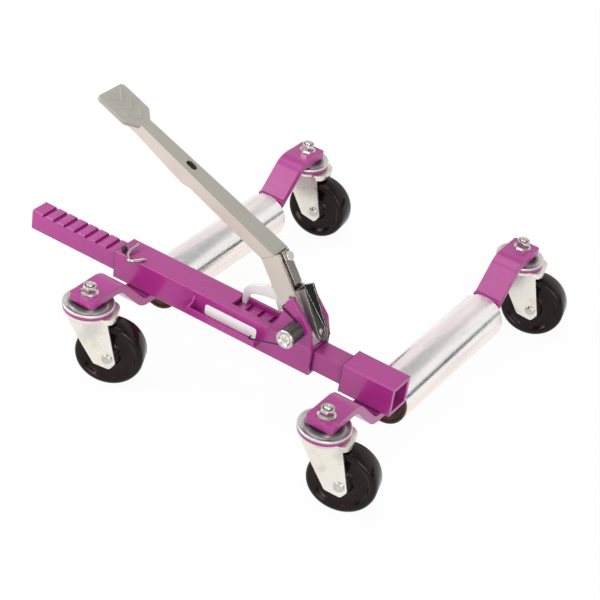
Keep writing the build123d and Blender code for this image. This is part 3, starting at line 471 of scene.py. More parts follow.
def wire(name, points, radii, around=14):
    """A round rod along points, of one radius or one for each point, with flat cut ends."""
    radii = radii if isinstance(radii, list) else [radii] * len(points)
    rings = []
    side = None
    for i, (point, radius) in enumerate(zip(points, radii)):
        before = points[max(i - 1, 0)]
        after = points[min(i + 1, len(points) - 1)]
        along = (after - before).normalized()
        side = along.orthogonal() if side is None else side - along * side.dot(along)
        side.normalize()
        other = along.cross(side)
        for k in range(around):
            angle = 2 * math.pi * k / around
            rings.append(point + (side * math.cos(angle) + other * math.sin(angle)) * radius)
    return new_mesh(name, rings, skin(len(points), around))


bead_ripple = 0.0024
bead_swell = 0.16
bead_taper = 18
bead_tip = 0.25


def bead(name, start, end, radius, body, finish=purple_enamel):
    """A weld run from start to end: overlapping ripples, thinner where it begins and stops."""
    start = Vector(start)
    end = Vector(end)
    length = (end - start).length
    steps = max(6, int(length / (bead_ripple / 4)))
    points = []
    radii = []
    for step in range(steps + 1):
        t = step / steps
        wave = abs(math.sin(math.pi * t * length / bead_ripple))
        swell = 1 - bead_swell + bead_swell * wave
        taper = min(1.0, math.sqrt(min(t, 1 - t) * bead_taper) + bead_tip)
        points.append(start.lerp(end, t))
        radii.append(radius * swell * taper)
    dress(wire(name, points, radii), finish, body)


tube_bead = 0.0016
tube_bead_stand = 0.0006
plate_bead = 0.0030
plate_bead_stand = 0.0004
plate_bead_drop = 0.0175
strap_margin = 0.003
housing_low, housing_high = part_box("main_housing")
sleeve_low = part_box("right_sleeve")[0]
for side, x, body in sides:
    strap_low, strap_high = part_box(f"{side}_near_strap")
    plate_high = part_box(f"{side}_end_plate")[1]
    tube_low = housing_low if side == "left" else sleeve_low
    half = (strap_high.x - strap_low.x) / 2 - strap_margin
    y, z = tube_low.y - tube_bead_stand, tube_low.z
    bead(
        f"{side}_tube_weld", (x - half, y, z), (x + half, y, z), tube_bead, body, painted_shade_enamel,
    )
    y, z = plate_high.y + plate_bead_stand, plate_high.z - plate_bead_drop
    bead(f"{side}_plate_weld", (x - half, y, z), (x + half, y, z), plate_bead, body)

ear_bead = 0.0022
ear_bead_left = 0.004
ear_bead_right = 0.003
far_ear_low, far_ear_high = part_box("far_ear")
bead(
    "far_ear_weld",
    (far_ear_low.x + ear_bead_left, far_ear_high.y, far_ear_low.z),
    (far_ear_high.x - ear_bead_right, far_ear_high.y, far_ear_low.z),
    ear_bead, "housing",
)
fillet_steps = 8
fillet_swell = 0.0006
fillet_rise = 0.0010
fillet_length = 0.0130
fillet_heel = 0.0100
fillet_root = housing_low.y + 0.0030
ear_low, ear_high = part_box("near_ear")
fillet_ends = (ear_low.x + 0.002, ear_high.x - 0.0005)
ear_fillet = []
for step in range(fillet_steps + 1):
    t = step / fillet_steps
    swell = fillet_swell * math.sin(math.pi * t)
    ear_fillet.append((
        ear_low.y * (1 - t) + housing_low.y * t + swell,
        ear_low.z + fillet_rise - fillet_length * t,
    ))
ear_fillet += [(fillet_root, ear_low.z - fillet_heel), (fillet_root, ear_low.z + fillet_rise)]
ear_weld = new_mesh(
    "near_ear_weld", [(x, y, z) for x in fillet_ends for y, z in ear_fillet],
    skin(2, len(ear_fillet)), smooth=False,
)
dress(ear_weld, purple_enamel, "housing")

guard_end_bead = 0.0017
guard_bead = 0.0018
run_count = 3
run_first = 0.010
run_length = 0.020
run_pitch = 0.043
guard_low, guard_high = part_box("side_guard")
bead(
    "guard_end_weld",
    (guard_low.x, guard_high.y, guard_low.z + 0.004),
    (guard_low.x, guard_high.y, guard_high.z - 0.001),
    guard_end_bead, "housing",
)
for k in range(run_count):
    run_x = guard_low.x + run_first + k * run_pitch
    bead(
        f"guard_weld_{k}",
        (run_x, guard_high.y, guard_low.z), (run_x + run_length, guard_high.y, guard_low.z),
        guard_bead, "housing",
    )

# A plain white plate of vinyl is stuck on the housing's side, above the tray.
# It is cut from thin sheet, with round corners that do not lift.
white_vinyl = clouded(
    "white_vinyl", scale=60.0, dark=(0.84, 0.84, 0.82), pale=(0.90, 0.90, 0.88),
    rough=(0.30, 0.45), depth=0.00005,
)
plate_corner = 0.0045
corner_steps = 6
plate_thick = 0.0003
plate_left, plate_right = -0.0825, 0.0085
plate_foot, plate_crest = guard_low.z + 0.0036, guard_low.z + 0.0216
plate_edge = []
for corner_x, corner_z, first in (
    (plate_right - plate_corner, plate_crest - plate_corner, 0),
    (plate_left + plate_corner, plate_crest - plate_corner, 90),
    (plate_left + plate_corner, plate_foot + plate_corner, 180),
    (plate_right - plate_corner, plate_foot + plate_corner, 270),
):
    for step in range(corner_steps + 1):
        angle = math.radians(first + 90 * step / corner_steps)
        plate_edge.append((
            corner_x + plate_corner * math.cos(angle), corner_z + plate_corner * math.sin(angle),
        ))
plate_faces_y = (housing_low.y, housing_low.y - plate_thick)
side_plate = new_mesh(
    "side_plate", [(x, y, z) for y in plate_faces_y for x, z in plate_edge],
    skin(2, len(plate_edge)), smooth=False,
)
dress(side_plate, white_vinyl, "housing")

# The upper races and the forks of the casters are pressed from steel sheet and zinc plated.
# The plate is nearly white, with soft clouds and a trace of blue and straw in it.
# Inside its raised rim each race is painted dark, as painted shadow of the strap above it.
zinc = Finish("bright_zinc")
zinc_cloud = zinc.speckle(55.0, 4.0)
zinc_drift = zinc.speckle(16.0, 2.0)
zinc_spangle = zinc.node("ShaderNodeTexVoronoi", {"feature": "F1"}, {
    "Vector": zinc.place, "Scale": 150.0, "Randomness": 1.0,
}, out="Color")
zinc_grey = zinc.node("ShaderNodeSeparateColor", inputs={0: zinc_spangle})
zinc_stain = zinc_drift * 0.80 + zinc_grey * 0.03 + zinc_cloud * 0.17
bright_zinc = zinc.brush(
    Base_Color=zinc.node("ShaderNodeValToRGB", {"stops": [
        (0.36, (0.64, 0.61, 0.58)), (0.46, (0.82, 0.77, 0.68)),
        (0.54, (0.79, 0.78, 0.74)), (0.66, (0.88, 0.83, 0.73)),
    ]}, {0: zinc_stain}),
    Metallic=0.85,
    Roughness=zinc_cloud * 0.20 + zinc_grey * 0.05 + 0.16,
    Normal=zinc.relief(zinc_cloud, 0.00005),
)


def off_axis(finish, place, across, centre):
    """How far a place lies from a centre line, measured along the axes that are one in across."""
    arm = finish.node("ShaderNodeVectorMath", {"operation": "MULTIPLY_ADD"}, {
        0: place, 1: across, 2: [-c for c in centre],
    })
    return finish.node("ShaderNodeVectorMath", {"operation": "LENGTH"}, {0: arm}, out="Value")


satin_race = Finish("satin_race_zinc")
race_cloud = satin_race.speckle(40.0)
race_fold = satin_race.node(
    "ShaderNodeVectorMath", {"operation": "ABSOLUTE"}, {0: satin_race.place},
)
race_reach = off_axis(satin_race, race_fold, (1, 1, 0), (caster_x, caster_y, 0))
# Near the kingpin the colour turns dark: painted shadow of the strap.
shadowed_race_zinc = satin_race.brush(
    Base_Color=laid(
        1 - past(race_reach, 0.0250, 0.0335),
        laid(race_cloud, (0.56, 0.545, 0.52), (0.80, 0.78, 0.75)),
        (0.060, 0.042, 0.052),
    ),
    Metallic=0.9,
    Roughness=race_cloud * 0.16 + 0.24,
    Normal=satin_race.relief(race_cloud, 0.00005),
)
race_sheet = 0.0026
race_corner = 0.0009
pin_hole = 0.0064
for side, x, body in sides:
    low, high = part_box(f"{side}_caster_races")
    under = high.z - race_sheet
    race = rounded([
        (high.z, pin_hole), (high.z, 0.0252), (low.z + 0.0030, 0.0275), (low.z + 0.0016, 0.0300),
        (low.z + 0.0020, 0.0330), (low.z + 0.0034, 0.0356), (low.z + 0.0037, 0.0368),
        (low.z + 0.0030, 0.0379), (low.z, 0.0380), (low.z, 0.0284),
        (under, 0.0246), (under, pin_hole),
    ], race_corner)
    races = turned(f"{side}_swivel_races", at_both_casters(race, x))
    dress(races, shadowed_race_zinc, body, f"{side}_caster_races")
fork_edge = 0.0009
casters = ("nl", "nr", "fl", "fr")
for caster in casters:
    softened(f"{caster}_fork", fork_edge, bright_zinc, f"{caster}_swivel")

# Flanged steel lock nuts hold the casters under the straps, on the threaded ends of the kingpins.
# Nuts and pins are forged, cut and plated like the races, but wiped clean, so they shine more.
# The thrust rings between the races are plain plated washers.
polished_zinc = clouded(
    "polished_zinc", scale=70.0, dark=(0.42, 0.405, 0.375), pale=(0.72, 0.70, 0.66),
    rough=(0.08, 0.24), depth=0.00006, Metallic=1.0,
)
nut_flange = 0.0135
nut_flange_height = 0.003
nut_flats = 0.019
nut_around = 96


def hexed(name, x, foot, crest):
    """Hexagon nuts with a round flange and a chamfered crown, at both casters of one side."""
    crown = nut_flats / 2 * 1.02
    rings = [
        (foot, nut_flange, False),
        (foot + nut_flange_height * 0.45, nut_flange, False),
        (foot + nut_flange_height, nut_flats / 2 * 1.13, False),
        (foot + nut_flange_height + 0.0002, nut_flats, True),
        (crest - 0.0022, nut_flats, True),
        (crest - 0.0006, crown * 1.05, True),
        (crest, crown * 0.97, True),
        (crest, pin_hole + 0.0011, False),
        (crest - 0.0011, pin_hole, False),
        (foot, pin_hole, False),
    ]
    points = []
    faces = []
    for y in (-caster_y, caster_y):
        faces += skin(len(rings), nut_around, True, len(points))
        for z, radius, six_sided in rings:
            for k in range(nut_around):
                angle = 2 * math.pi * k / nut_around
                flat = nut_flats / 2 / math.cos((angle % (math.pi / 3)) - math.pi / 6)
                out = min(radius, flat) if six_sided else radius
                points.append((x + out * math.cos(angle), y + out * math.sin(angle), z))
    return new_mesh(name, points, faces, smooth=False)


def replated(finish, *nodes):
    """Gives solids that stay as they are a better finish."""
    for node in nodes:
        coats = frame["nodes"][node].data.materials
        coats.clear()
        coats.append(finish)


thread_pitch = 0.0012
thread_crest = 0.0063
thread_root = 0.0057
thread_start = 0.004
thread_stop = 0.0008
pin_shoulder = 0.006
for side, x, body in sides:
    low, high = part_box(f"{side}_caster_nuts")
    nuts = hexed(f"{side}_lock_nuts", x, low.z, high.z)
    dress(nuts, polished_zinc, body, f"{side}_caster_nuts")
    pin_low, pin_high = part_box(f"{side}_kingpins")
    shoulder = pin_low.z + pin_shoulder
    thread = [
        (pin_low.z, 0.0001), (pin_low.z, 0.0095), (shoulder, 0.0099), (shoulder, thread_crest),
    ]
    turn = high.z - thread_start
    while turn < pin_high.z - thread_stop:
        thread += [(turn, thread_crest), (turn + thread_pitch / 2, thread_root)]
        turn += thread_pitch
    thread += [(pin_high.z - 0.0004, 0.0056), (pin_high.z, 0.0050), (pin_high.z, 0.0001)]
    kingpins = turned(f"{side}_threaded_pins", at_both_casters(thread, x), 48)
    dress(kingpins, polished_zinc, body, f"{side}_kingpins")
    replated(bright_zinc, f"{side}_thrust_rings")

# The wheels are moulded in one piece in a hard brown-black resin with a glossy skin.
# Each has a rounded tread, a dished web and a hub that stands a little proud of it.
resin = Finish("dark_resin")
resin_cloud = resin.speckle(30.0)
resin_grain = resin.speckle(420.0, 2.0)
dark_resin = resin.brush(
    Base_Color=laid(resin_cloud, (0.005, 0.0032, 0.0035), (0.011, 0.007, 0.0075)),
    Roughness=resin_cloud * 0.10 + 0.08,
    Specular_IOR_Level=0.19,
    Specular_Tint=(1.0, 0.82, 0.80, 1),
    Normal=resin.relief(resin_grain, 0.00005),
)
joint_of = {joint["name"]: joint for joint in frame["joints"]}
wheel_radius = 0.0508
half_width = 0.01905
wheel_face = [(half_width - depth, radius) for depth, radius in (
    (0.0068, wheel_radius), (0.0026, 0.0494), (0.0006, 0.0472), (0, 0.0440), (0, 0.0412),
    (0.0007, 0.0408), (0.0007, 0.0402), (0.0010, 0.0396), (0.0056, 0.0372), (0.0060, 0.0360),
    (0.0060, 0.0200), (0.0052, 0.0184), (-0.0004, 0.0152), (-0.0014, 0.0146), (-0.0020, 0.0136),
    (-0.0020, 0.0060), (-0.0016, 0.0049),
)]
wheel_section = [(-along, radius) for along, radius in reversed(wheel_face)]
wheel_section += [(0.0, wheel_radius)] + wheel_face
for caster in casters:
    axle = joint_of[f"{caster}_wheel_turn"]
    wheel = turned(
        f"{caster}_moulded_wheel", [(wheel_section, axle["pos_m"], axle["axis"])], 128,
    )
    dress(wheel, dark_resin, f"{caster}_wheel_spin", f"{caster}_wheel")

# Each wheel turns on a plated steel rivet that goes through both cheeks of the fork.
# Its two ends are closed into wide domed heads.
fork_face = 0.02605
rivet_head = [(fork_face + rise, radius) for rise, radius in (
    (0, 0.00475), (0, 0.0079), (0.0010, 0.0080), (0.0021, 0.0074), (0.0029, 0.0060),
    (0.0034, 0.0042), (0.0036, 0.0022), (0.0036, 0.0001),
)]
rivet_section = [(-along, radius) for along, radius in reversed(rivet_head)] + rivet_head
for caster in casters:
    axle = joint_of[f"{caster}_wheel_turn"]
    rivet = turned(f"{caster}_rivet", [(rivet_section, axle["pos_m"], axle["axis"])], 48)
    dress(rivet, polished_zinc, f"{caster}_swivel", f"{caster}_wheel_axle")

# The rollers are drawn steel tube in zinc plate, with fine marks round them and soft streaks along.
# Stepped bushings of brown resin are pressed into their ends and run on plain steel axles.
drawn = Finish("drawn_zinc_tube")
drawn_streaks = drawn.speckle(95.0, 5.0, (1, 0.10, 1))
drawn_rag = drawn.speckle(130.0, 4.0, (1, 4, 1))
drawn_cloud = drawn.speckle(26.0)
roller_low, roller_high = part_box("left_roller_tube")
# The colour also changes with height round the tube, as painted reflection: peach low down, near
# white higher up, a little warmer at the crown.
drawn_height = drawn.node("ShaderNodeSeparateXYZ", inputs={0: drawn.place}, out="Z")
roller_reflection_height = drawn.node("ShaderNodeMapRange", inputs={
    0: drawn_height, 1: roller_low.z, 2: roller_high.z,
})
roller_reflection_tint = drawn.node("ShaderNodeValToRGB", {"stops": [
    (0.40, (0.97, 0.84, 0.77)), (0.62, (0.96, 0.86, 0.81)), (0.74, (0.95, 0.95, 0.93)),
    (0.90, (0.93, 0.91, 0.90)), (1.0, (0.92, 0.87, 0.86)),
]}, {0: roller_reflection_height + drawn_streaks * 0.10 - 0.05})
drawn_shade = drawn.node("ShaderNodeValToRGB", {"stops": [
    (0.36, (0.82, 0.83, 0.85)), (0.50, (0.95, 0.95, 0.95)), (0.64, (1.0, 1.0, 1.0)),
]}, {0: drawn_streaks * 0.6 + drawn_rag * 0.4})
drawn_zinc = drawn.brush(
    Base_Color=drawn.node(
        "ShaderNodeMix", {"data_type": "RGBA", "blend_type": "MULTIPLY"},
        {0: 1.0, 6: roller_reflection_tint, 7: drawn_shade}, out=2,
    ),
    Metallic=0.95,
    Roughness=drawn_streaks * 0.10 + drawn_cloud * 0.10 + 0.05,
    Normal=drawn.relief(drawn_streaks * 0.3 + drawn_rag * 0.7, 0.00035),
)
brown_resin = clouded(
    "brown_bushing", scale=40.0, dark=(0.024, 0.011, 0.006), pale=(0.060, 0.030, 0.016),
    rough=(0.16, 0.36), depth=0.0002,
    Specular_IOR_Level=0.28, Specular_Tint=(1.0, 0.78, 0.64, 1),
)
roller_radius = 0.0365
roller_bore = 0.0325
roller_corner = 0.0014
flange_bare = 0.0020
axle_bore = 0.00965
bushing_corner = 0.0008
bushing_face = (
    (0.029, axle_bore), (0.029, 0.0324), (0.007, 0.0324), (0.007, 0.0357), (0.002, 0.0357),
    (0.002, 0.0318), (0.0045, 0.0306), (0.0045, 0.0252), (0, 0.0240), (0, axle_bore),
)
along_roller = (0, 1, 0)
for side, x, body in sides:
    spin = joint_of[f"{side}_roller_spin"]["pos_m"]
    near_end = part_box(f"{side}_roller_tube")[0].y
    low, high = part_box(f"{side}_roller_bushings")
    far_end = high.y - flange_bare
    tube = rounded([
        (near_end, roller_bore), (near_end, roller_radius),
        (far_end, roller_radius), (far_end, roller_bore),
    ], roller_corner)
    roller = turned(f"{side}_roller_barrel", [(tube, spin, along_roller)], 160)
    dress(roller, drawn_zinc, f"{side}_roller", f"{side}_roller_tube")
    bushing_pair = []
    for mouth, way in ((low.y, 1), (high.y, -1)):
        bushing = [(mouth + way * depth, radius) for depth, radius in bushing_face]
        bushing_pair.append((rounded(bushing, bushing_corner), spin, along_roller))
    bushings = turned(f"{side}_end_bushings", bushing_pair)
    dress(bushings, brown_resin, f"{side}_roller", f"{side}_roller_bushings")
    replated(bright_zinc, f"{side}_axle")

# The pedal is bent steel plate, welded up from a pad, a tapered arm and a lower channel.
# Arm and channel have a warm grey satin plating, painted darker low down and lighter towards the
# pad, as painted shade.
# The pad is rubbed matt by shoes; the arm's top gets the pad's darker matt grey, as painted shade.
satin = Finish("warm_grey_satin")
satin_cloud = satin.speckle(20.0, 4.0)
satin_grain = satin.speckle(260.0, 3.0, (0.5, 1.6, 1))
satin_height = satin.node("ShaderNodeSeparateXYZ", inputs={0: satin.place}, out="Z")
# Painted shade: the plating's colour is darker low down on the channel and lighter up the arm.
satin_shade_rise = past(satin_height, 0.14, 0.36)
warm_grey = satin.brush(
    Base_Color=laid(satin_cloud * 0.4 + satin_shade_rise * 0.6, (0.56, 0.50, 0.45), (0.80, 0.70, 0.63)),
    Metallic=1.0,
    Roughness=satin_grain * 0.14 + satin_cloud * 0.10 + 0.20,
    Normal=satin.relief(satin_grain, 0.00008),
)
matt = Finish("matt_grey_pad")
matt_cloud = matt.speckle(24.0, 4.0)
matt_grain = matt.speckle(300.0)
pad_grey_and_top_shade = matt.brush(
    Base_Color=laid(matt_cloud, (0.30, 0.29, 0.255), (0.37, 0.355, 0.315)),
    Metallic=0.25,
    Roughness=matt_grain * 0.16 + 0.40,
    Normal=matt.relief(matt_grain, 0.0001),
)
arm_edge, lever_edge, pad_edge = 0.0012, 0.0008, 0.0010


def on_top(face):
    """True for the faces of the arm that look up."""
    return face.normal.z > 0.7


# The arm's upward faces get the pad's darker grey, as painted shade.
softened("pedal_arm", arm_edge, warm_grey, "pedal", spots=(pad_grey_and_top_shade, on_top))
softened("pedal_lever", lever_edge, warm_grey, "pedal")
softened("pedal_pad", pad_edge, pad_grey_and_top_shade, "pedal")

# Inside the lower channel a flat spring leaf is held by one plated hexagon bolt on a spacer.
# The drive pawl is a bent steel trough on a hollow pin. Leaf, pawl and pin are left dark from
# the quench and wiped with oil. The edges of leaf and pawl are painted bright, partly as rubbed
# wear and partly as painted highlight, and the pawl's inner faces are painted black as painted
# shade.
oiled_steel = clouded(
    "oiled_steel", scale=45.0, dark=(0.15, 0.14, 0.13), pale=(0.30, 0.275, 0.255),
    rough=(0.22, 0.44), depth=0.0002, detail=4.0, Metallic=0.75,
)
worn_steel = clouded(
    "worn_leaf_steel", scale=60.0, dark=(0.22, 0.205, 0.19), pale=(0.36, 0.34, 0.315),
    rough=(0.30, 0.50), depth=0.0001, detail=4.0, stretch=(1, 3, 1), Metallic=0.9,
)
# A flat black used only as painted shade: in the pawl's trough, under the arm's slot, on the bar's
# end in the sleeve and in the cap's recess.
painted_shade_black = clouded(
    "painted_shade_black", scale=90.0, dark=(0.012, 0.012, 0.012), pale=(0.040, 0.042, 0.038),
    rough=(0.35, 0.55), depth=0.0001,
)
# Bright steel for the rounded edges of leaf and pawl: rubbed wear, and a painted highlight along
# every edge.
rubbed_and_highlit_steel = clouded(
    "rubbed_edge_and_highlight_steel", scale=120.0, dark=(0.60, 0.58, 0.54), pale=(0.86, 0.83, 0.78),
    rough=(0.18, 0.38), depth=0.0001, detail=4.0, Metallic=1.0,
)
leaf_edge, bolt_edge, pawl_edge = 0.0006, 0.0006, 0.0012
pawl_low, pawl_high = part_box("drive_pawl")
pawl_middle = (pawl_low.y + pawl_high.y) / 2


def in_trough(face):
    """True for the pawl's inner faces, which are painted black as painted shade in the trough."""
    return face.normal.x > 0.4 or face.normal.y * (face.center.y - pawl_middle) < -0.004


softened("leaf", leaf_edge, worn_steel, "pedal", edge=rubbed_and_highlit_steel)
softened("leaf_bolt", bolt_edge, bright_zinc, "pedal")
softened(
    "drive_pawl", pawl_edge, oiled_steel, "drive_pawl_set",
    edge=rubbed_and_highlit_steel, spots=(painted_shade_black, in_trough),
)
replated(oiled_steel, "leaf_spacer", "drive_pawl_pin")


# The inside of the arm lies in shade. A black strip of painted shade lies under the slot that is
# cut in the arm's top, and shows through it.
def slab(name, centre, along, across, length, width, thick, body):
    """A thin black plate of painted shade with chamfered rims, lying along two directions."""
    along = Vector(along).normalized()
    across = Vector(across).normalized()
    out = along.cross(across)
    points = []
    for inset, rise in ((0, 0), (0, 0.6), (0.3, 1)):
        for a, b in four_corners:
            points.append(
                Vector(centre) + along * a * (length / 2 - inset * thick)
                + across * b * (width / 2 - inset * thick) + out * rise * thick
            )
    made = new_mesh(name, points, skin(3, len(four_corners)), smooth=False)
    dress(made, painted_shade_black, body)


arm_way = (0.926, 0, -0.378)
strip_middle = (-0.1525, -0.1389, 0.3096)
strip_size = (0.034, 0.0195, 0.001)
slab("arm_slot_shade_strip", strip_middle, arm_way, (0, 1, 0), *strip_size, "pedal")

# A dark line is painted in the root of every notch that is milled across the bar, as painted shade.
# Dark rings of painted shade also go round the bar at the mouths of the housing and of the sleeve.
# The bar's sawn end shows in the sleeve's bore as a black plate of painted shade.
bar_low, bar_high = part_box("ratchet_bar")
bar_middle = (bar_low + bar_high) / 2
notch_count = 24
notch_first = 0.0200
notch_pitch = 0.0205
notch_depth = 0.0029
shade_line_sides = 8
shade_line_inset = 0.0003
shade_line_wide = 0.0004
shade_line_high = 0.0007
shade_line_points = []
shade_line_faces = []
for notch in range(notch_count):
    root_x = bar_low.x + notch_first + notch * notch_pitch
    shade_line_faces += skin(2, shade_line_sides, first=len(shade_line_points))
    for y in (bar_low.y + shade_line_inset, bar_high.y - shade_line_inset):
        for k in range(shade_line_sides):
            angle = 2 * math.pi * k / shade_line_sides
            shade_line_points.append((
                root_x + shade_line_wide * math.cos(angle), y,
                bar_high.z - notch_depth + shade_line_high * math.sin(angle),
            ))
notch_shade_lines = new_mesh("notch_painted_shade", shade_line_points, shade_line_faces)
dress(notch_shade_lines, painted_shade_enamel, "bar")
bar_half = (bar_high.z - bar_low.z) / 2
line_inner = bar_half + 0.0002
line_width = 0.0009
tube_mouth = 0.0232
slot_mouth = bar_half + 0.0016
slot_line_width = 0.0008


def mouth_line(name, start, end, outer, body):
    """A thin dark square ring of painted shade round the bar, from start to end along it."""
    rings = ((start, line_inner), (start, outer), (end, outer), (end, line_inner))
    points = [
        (x, bar_middle.y + a * half, bar_middle.z + b * half)
        for x, half in rings for a, b in four_corners
    ]
    made = new_mesh(name, points, skin(len(rings), len(four_corners), True), smooth=False)
    dress(made, painted_shade_enamel, body)


mouth_line("sleeve_mouth_line", sleeve_low.x - line_width, sleeve_low.x, tube_mouth, "bar")
mouth_line(
    "housing_left_line", housing_low.x - line_width, housing_low.x, tube_mouth, "housing",
)
mouth_line(
    "housing_right_line", housing_high.x, housing_high.x + slot_line_width, slot_mouth, "housing",
)
bar_end = (bar_high.x, bar_middle.y, bar_middle.z)
sawn_size = (0.0250, 0.0250, 0.0006)
slab("bar_sawn_end", bar_end, (0, 1, 0), (0, 0, 1), *sawn_size, "bar")

# The tooth of the drive pawl and the arched holding pawl are cut from thick steel plate.
# They are ground bright where they grip the bar, then plated to a pale frosted zinc.
frosted_zinc = clouded(
    "frosted_zinc", scale=70.0, dark=(0.76, 0.76, 0.735), pale=(0.89, 0.89, 0.865),
    rough=(0.28, 0.38), depth=0.00003, Metallic=0.5,
)
tooth_edge, arch_edge = 0.0005, 0.0012
softened("pawl_tooth", tooth_edge, frosted_zinc, "drive_pawl_set")
softened("holding_pawl", arch_edge, frosted_zinc, "holding_pawl_set")

# The pedal turns on a plated steel pin through both ears.
# A pressed cap with a rolled rim is pushed on its near end, and a ring holds its far end.
cap_low, cap_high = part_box("pivot_cap")
pivot = (cap_low + cap_high) / 2
cap_back = cap_high.y
cap_line = ((pivot.x, 0, pivot.z), (0, 1, 0))
cap_rim, cap_dome, cap_floor = (
    [(cap_back - rise, radius) for rise, radius in section] for section in (
        (
            (0, 0.0066), (0, 0.0143), (0.0022, 0.0143), (0.0034, 0.0136), (0.0040, 0.0122),
            (0.0040, 0.0110), (0.0034, 0.0099), (0.0016, 0.0084), (0.0011, 0.0076),
        ),
        (
            (0.0010, 0.0001), (0.0010, 0.0047), (0.0026, 0.0045),
            (0.0034, 0.0034), (0.0038, 0.0018), (0.0039, 0.0001),
        ),
        ((0, 0.0001), (0, 0.0080), (0.0008, 0.0080), (0.0008, 0.0001)),
    )
)
cap = turned("pivot_push_cap", [(cap_rim, *cap_line), (cap_dome, *cap_line)], 64)
dress(cap, polished_zinc, "housing", "pivot_cap")
# The black floor inside the cap's recess is painted shade.
cap_well = turned("pivot_cap_shade_well", [(cap_floor, *cap_line)], 64)
dress(cap_well, painted_shade_black, "housing")
replated(bright_zinc, "pivot_pin", "pivot_ring", "holding_pawl_pin")

# A close-wound torsion spring of black oiled wire sits on the pin and lifts the pedal.
# One leg hooks behind the lever and turns with it, the other runs down to the guard and hooks
# over its lip. The outside of each turn of the coil is painted pale, as a painted highlight.
coil_radius = 0.0127
coil_wire = 0.00115
coil_turns = 9
coil_facets = 40
blackened = Finish("black_spring_wire")
blackened_cloud = blackened.speckle(80.0)
coil_reach = off_axis(blackened, blackened.place, (1, 0, 1), (pivot.x, 0, pivot.z))
# The outer crest of every turn is painted pale as a painted highlight; the legs stay dark.
coil_crest_highlight = past(coil_reach, coil_radius + coil_wire * 0.86, coil_radius + coil_wire * 0.98)
coil_leg = past(coil_reach, coil_radius + coil_wire * 1.05, coil_radius + coil_wire * 1.3)
black_wire = blackened.brush(
    Base_Color=laid(
        coil_crest_highlight - coil_leg,
        laid(blackened_cloud, (0.018, 0.017, 0.017), (0.050, 0.048, 0.046)),
        (0.36, 0.345, 0.33),
    ),
    Metallic=0.9,
    Roughness=blackened_cloud * 0.2 + 0.14,
    Normal=blackened.relief(blackened_cloud, 0.0001),
)


def bent(first, corner, last, radius):
    """The points of an arc that rounds a wire's corner."""
    steps = 8
    to_first = (first - corner).normalized()
    to_last = (last - corner).normalized()
    half = to_first.angle(to_last) / 2
    start = corner + to_first * radius / math.tan(half)
    end = corner + to_last * radius / math.tan(half)
    hub = corner + (to_first + to_last).normalized() * radius / math.sin(half)
    arm = start - hub
    axis = arm.cross(end - hub).normalized()
    sweep = arm.angle(end - hub)
    return [hub + Matrix.Rotation(sweep * k / steps, 3, axis) @ arm for k in range(steps + 1)]


wire_gap = 0.0004
wire_bend = 0.004
hook_x, hook_z = 0.0455, 0.1815
rest_left = 0.0675
rest_depth = 0.006
rest_stand = 0.0025
lap_points = 6
lap_thinner = 0.99
lever_low, lever_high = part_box("pedal_lever")
lip_top = guard_low.z + 0.0138
coil_start = ear_low.y - wire_gap - coil_wire
coil_end = cap_back + wire_gap + coil_wire
hook = Vector((hook_x, lever_low.y - wire_gap, hook_z))
rest = Vector((pivot.x - rest_left, guard_low.y + rest_depth, lip_top + wire_gap + coil_wire))
hook_flat = Vector((hook.x - pivot.x, hook.z - pivot.z))
rest_flat = Vector((rest.x - pivot.x, rest.z - pivot.z))
coil_from = math.atan2(hook_flat.y, hook_flat.x) - math.acos(coil_radius / hook_flat.length)
coil_to = math.atan2(rest_flat.y, rest_flat.x) + math.acos(coil_radius / rest_flat.length)
full_turn = 2 * math.pi
coil_angle = (coil_from - coil_to) % full_turn + coil_turns * full_turn
coil_steps = int(coil_angle / full_turn * coil_facets)
coil = []
for step in range(coil_steps + 1):
    angle = coil_from - coil_angle * step / coil_steps
    coil.append(Vector((
        pivot.x + coil_radius * math.cos(angle),
        coil_start + (coil_end - coil_start) * step / coil_steps,
        pivot.z + coil_radius * math.sin(angle),
    )))
rest_corner = Vector((rest.x, guard_low.y - rest_stand, rest.z))
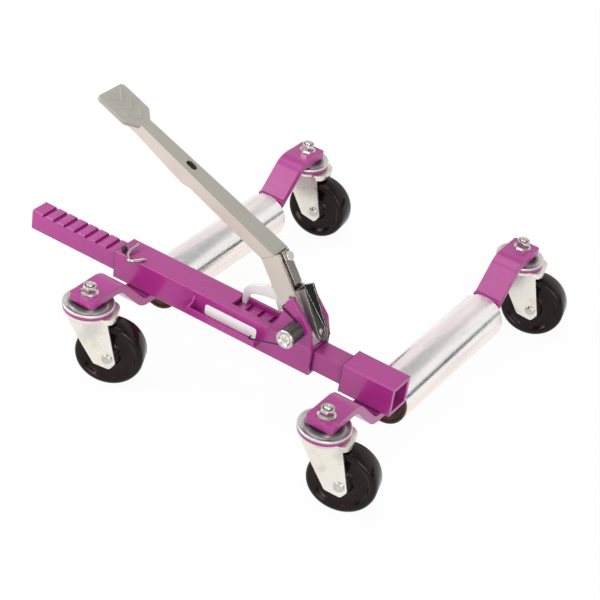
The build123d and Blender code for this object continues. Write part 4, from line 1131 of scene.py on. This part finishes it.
coil_and_leg = coil + bent(coil[-1], rest_corner, rest, wire_bend) + [rest]
spring = wire("pedal_return_spring", coil_and_leg, coil_wire)
dress(spring, black_wire, "housing", "pedal_spring")
hook_corner = Vector((hook.x, coil_start, hook.z))
hook_leg = [hook] + bent(hook, hook_corner, coil[0], wire_bend) + coil[:lap_points]
spring_leg = wire("pedal_spring_leg", hook_leg, coil_wire * lap_thinner)
dress(spring_leg, black_wire, "pedal", "pedal_spring")

# The arm's end is set into the lower channel and welded from inside.
# A thin line of bare dark steel is left on each side, where the two plates meet.
seam_radius = 0.0004
seam_inset = 0.0001
seam_path = ((-0.0046, 0.2352), (0.0057, 0.2416), (0.0140, 0.2480))
for seam_name, seam_y in (
    ("near", lever_low.y + seam_inset), ("far", lever_high.y - seam_inset),
):
    seam_points = [Vector((x, seam_y, z)) for x, z in seam_path]
    seam = wire(f"arm_seam_{seam_name}", seam_points, seam_radius, 8)
    dress(seam, oiled_steel, "pedal")

# The lock pin is one bent rod of plated steel whose end drops through the top of the housing.
# A small black boot of moulded rubber beside it stops the rod from rattling.
pin_edge = 0.0002
softened("lock_pin", pin_edge, polished_zinc, "lock", segments=1, angle=60)
black_rubber = clouded(
    "black_rubber_boot", scale=300.0, dark=(0.008, 0.008, 0.008), pale=(0.022, 0.021, 0.021),
    rough=(0.5, 0.7), depth=0.0001,
)
boot_low, boot_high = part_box("lock_boot")
boot_middle = (boot_low + boot_high) / 2
boot_section = [(boot_high.x - depth, radius) for depth, radius in (
    (0, 0.0001), (0, 0.0040), (0.0006, 0.0046), (0.0014, 0.0040), (0.0020, 0.0046),
    (0.0028, 0.0053), (0.0038, 0.0053), (0.0046, 0.0046), (0.0054, 0.0040), (0.0072, 0.0030),
)]
boot_section += [(boot_low.x + 0.0002, 0.0016), (boot_low.x, 0.0001)]
boot_line = ((0, boot_middle.y, boot_middle.z), (1, 0, 0))
boot = turned("lock_rubber_boot", [(boot_section, *boot_line)], 40)
dress(boot, black_rubber, "housing", "lock_boot")
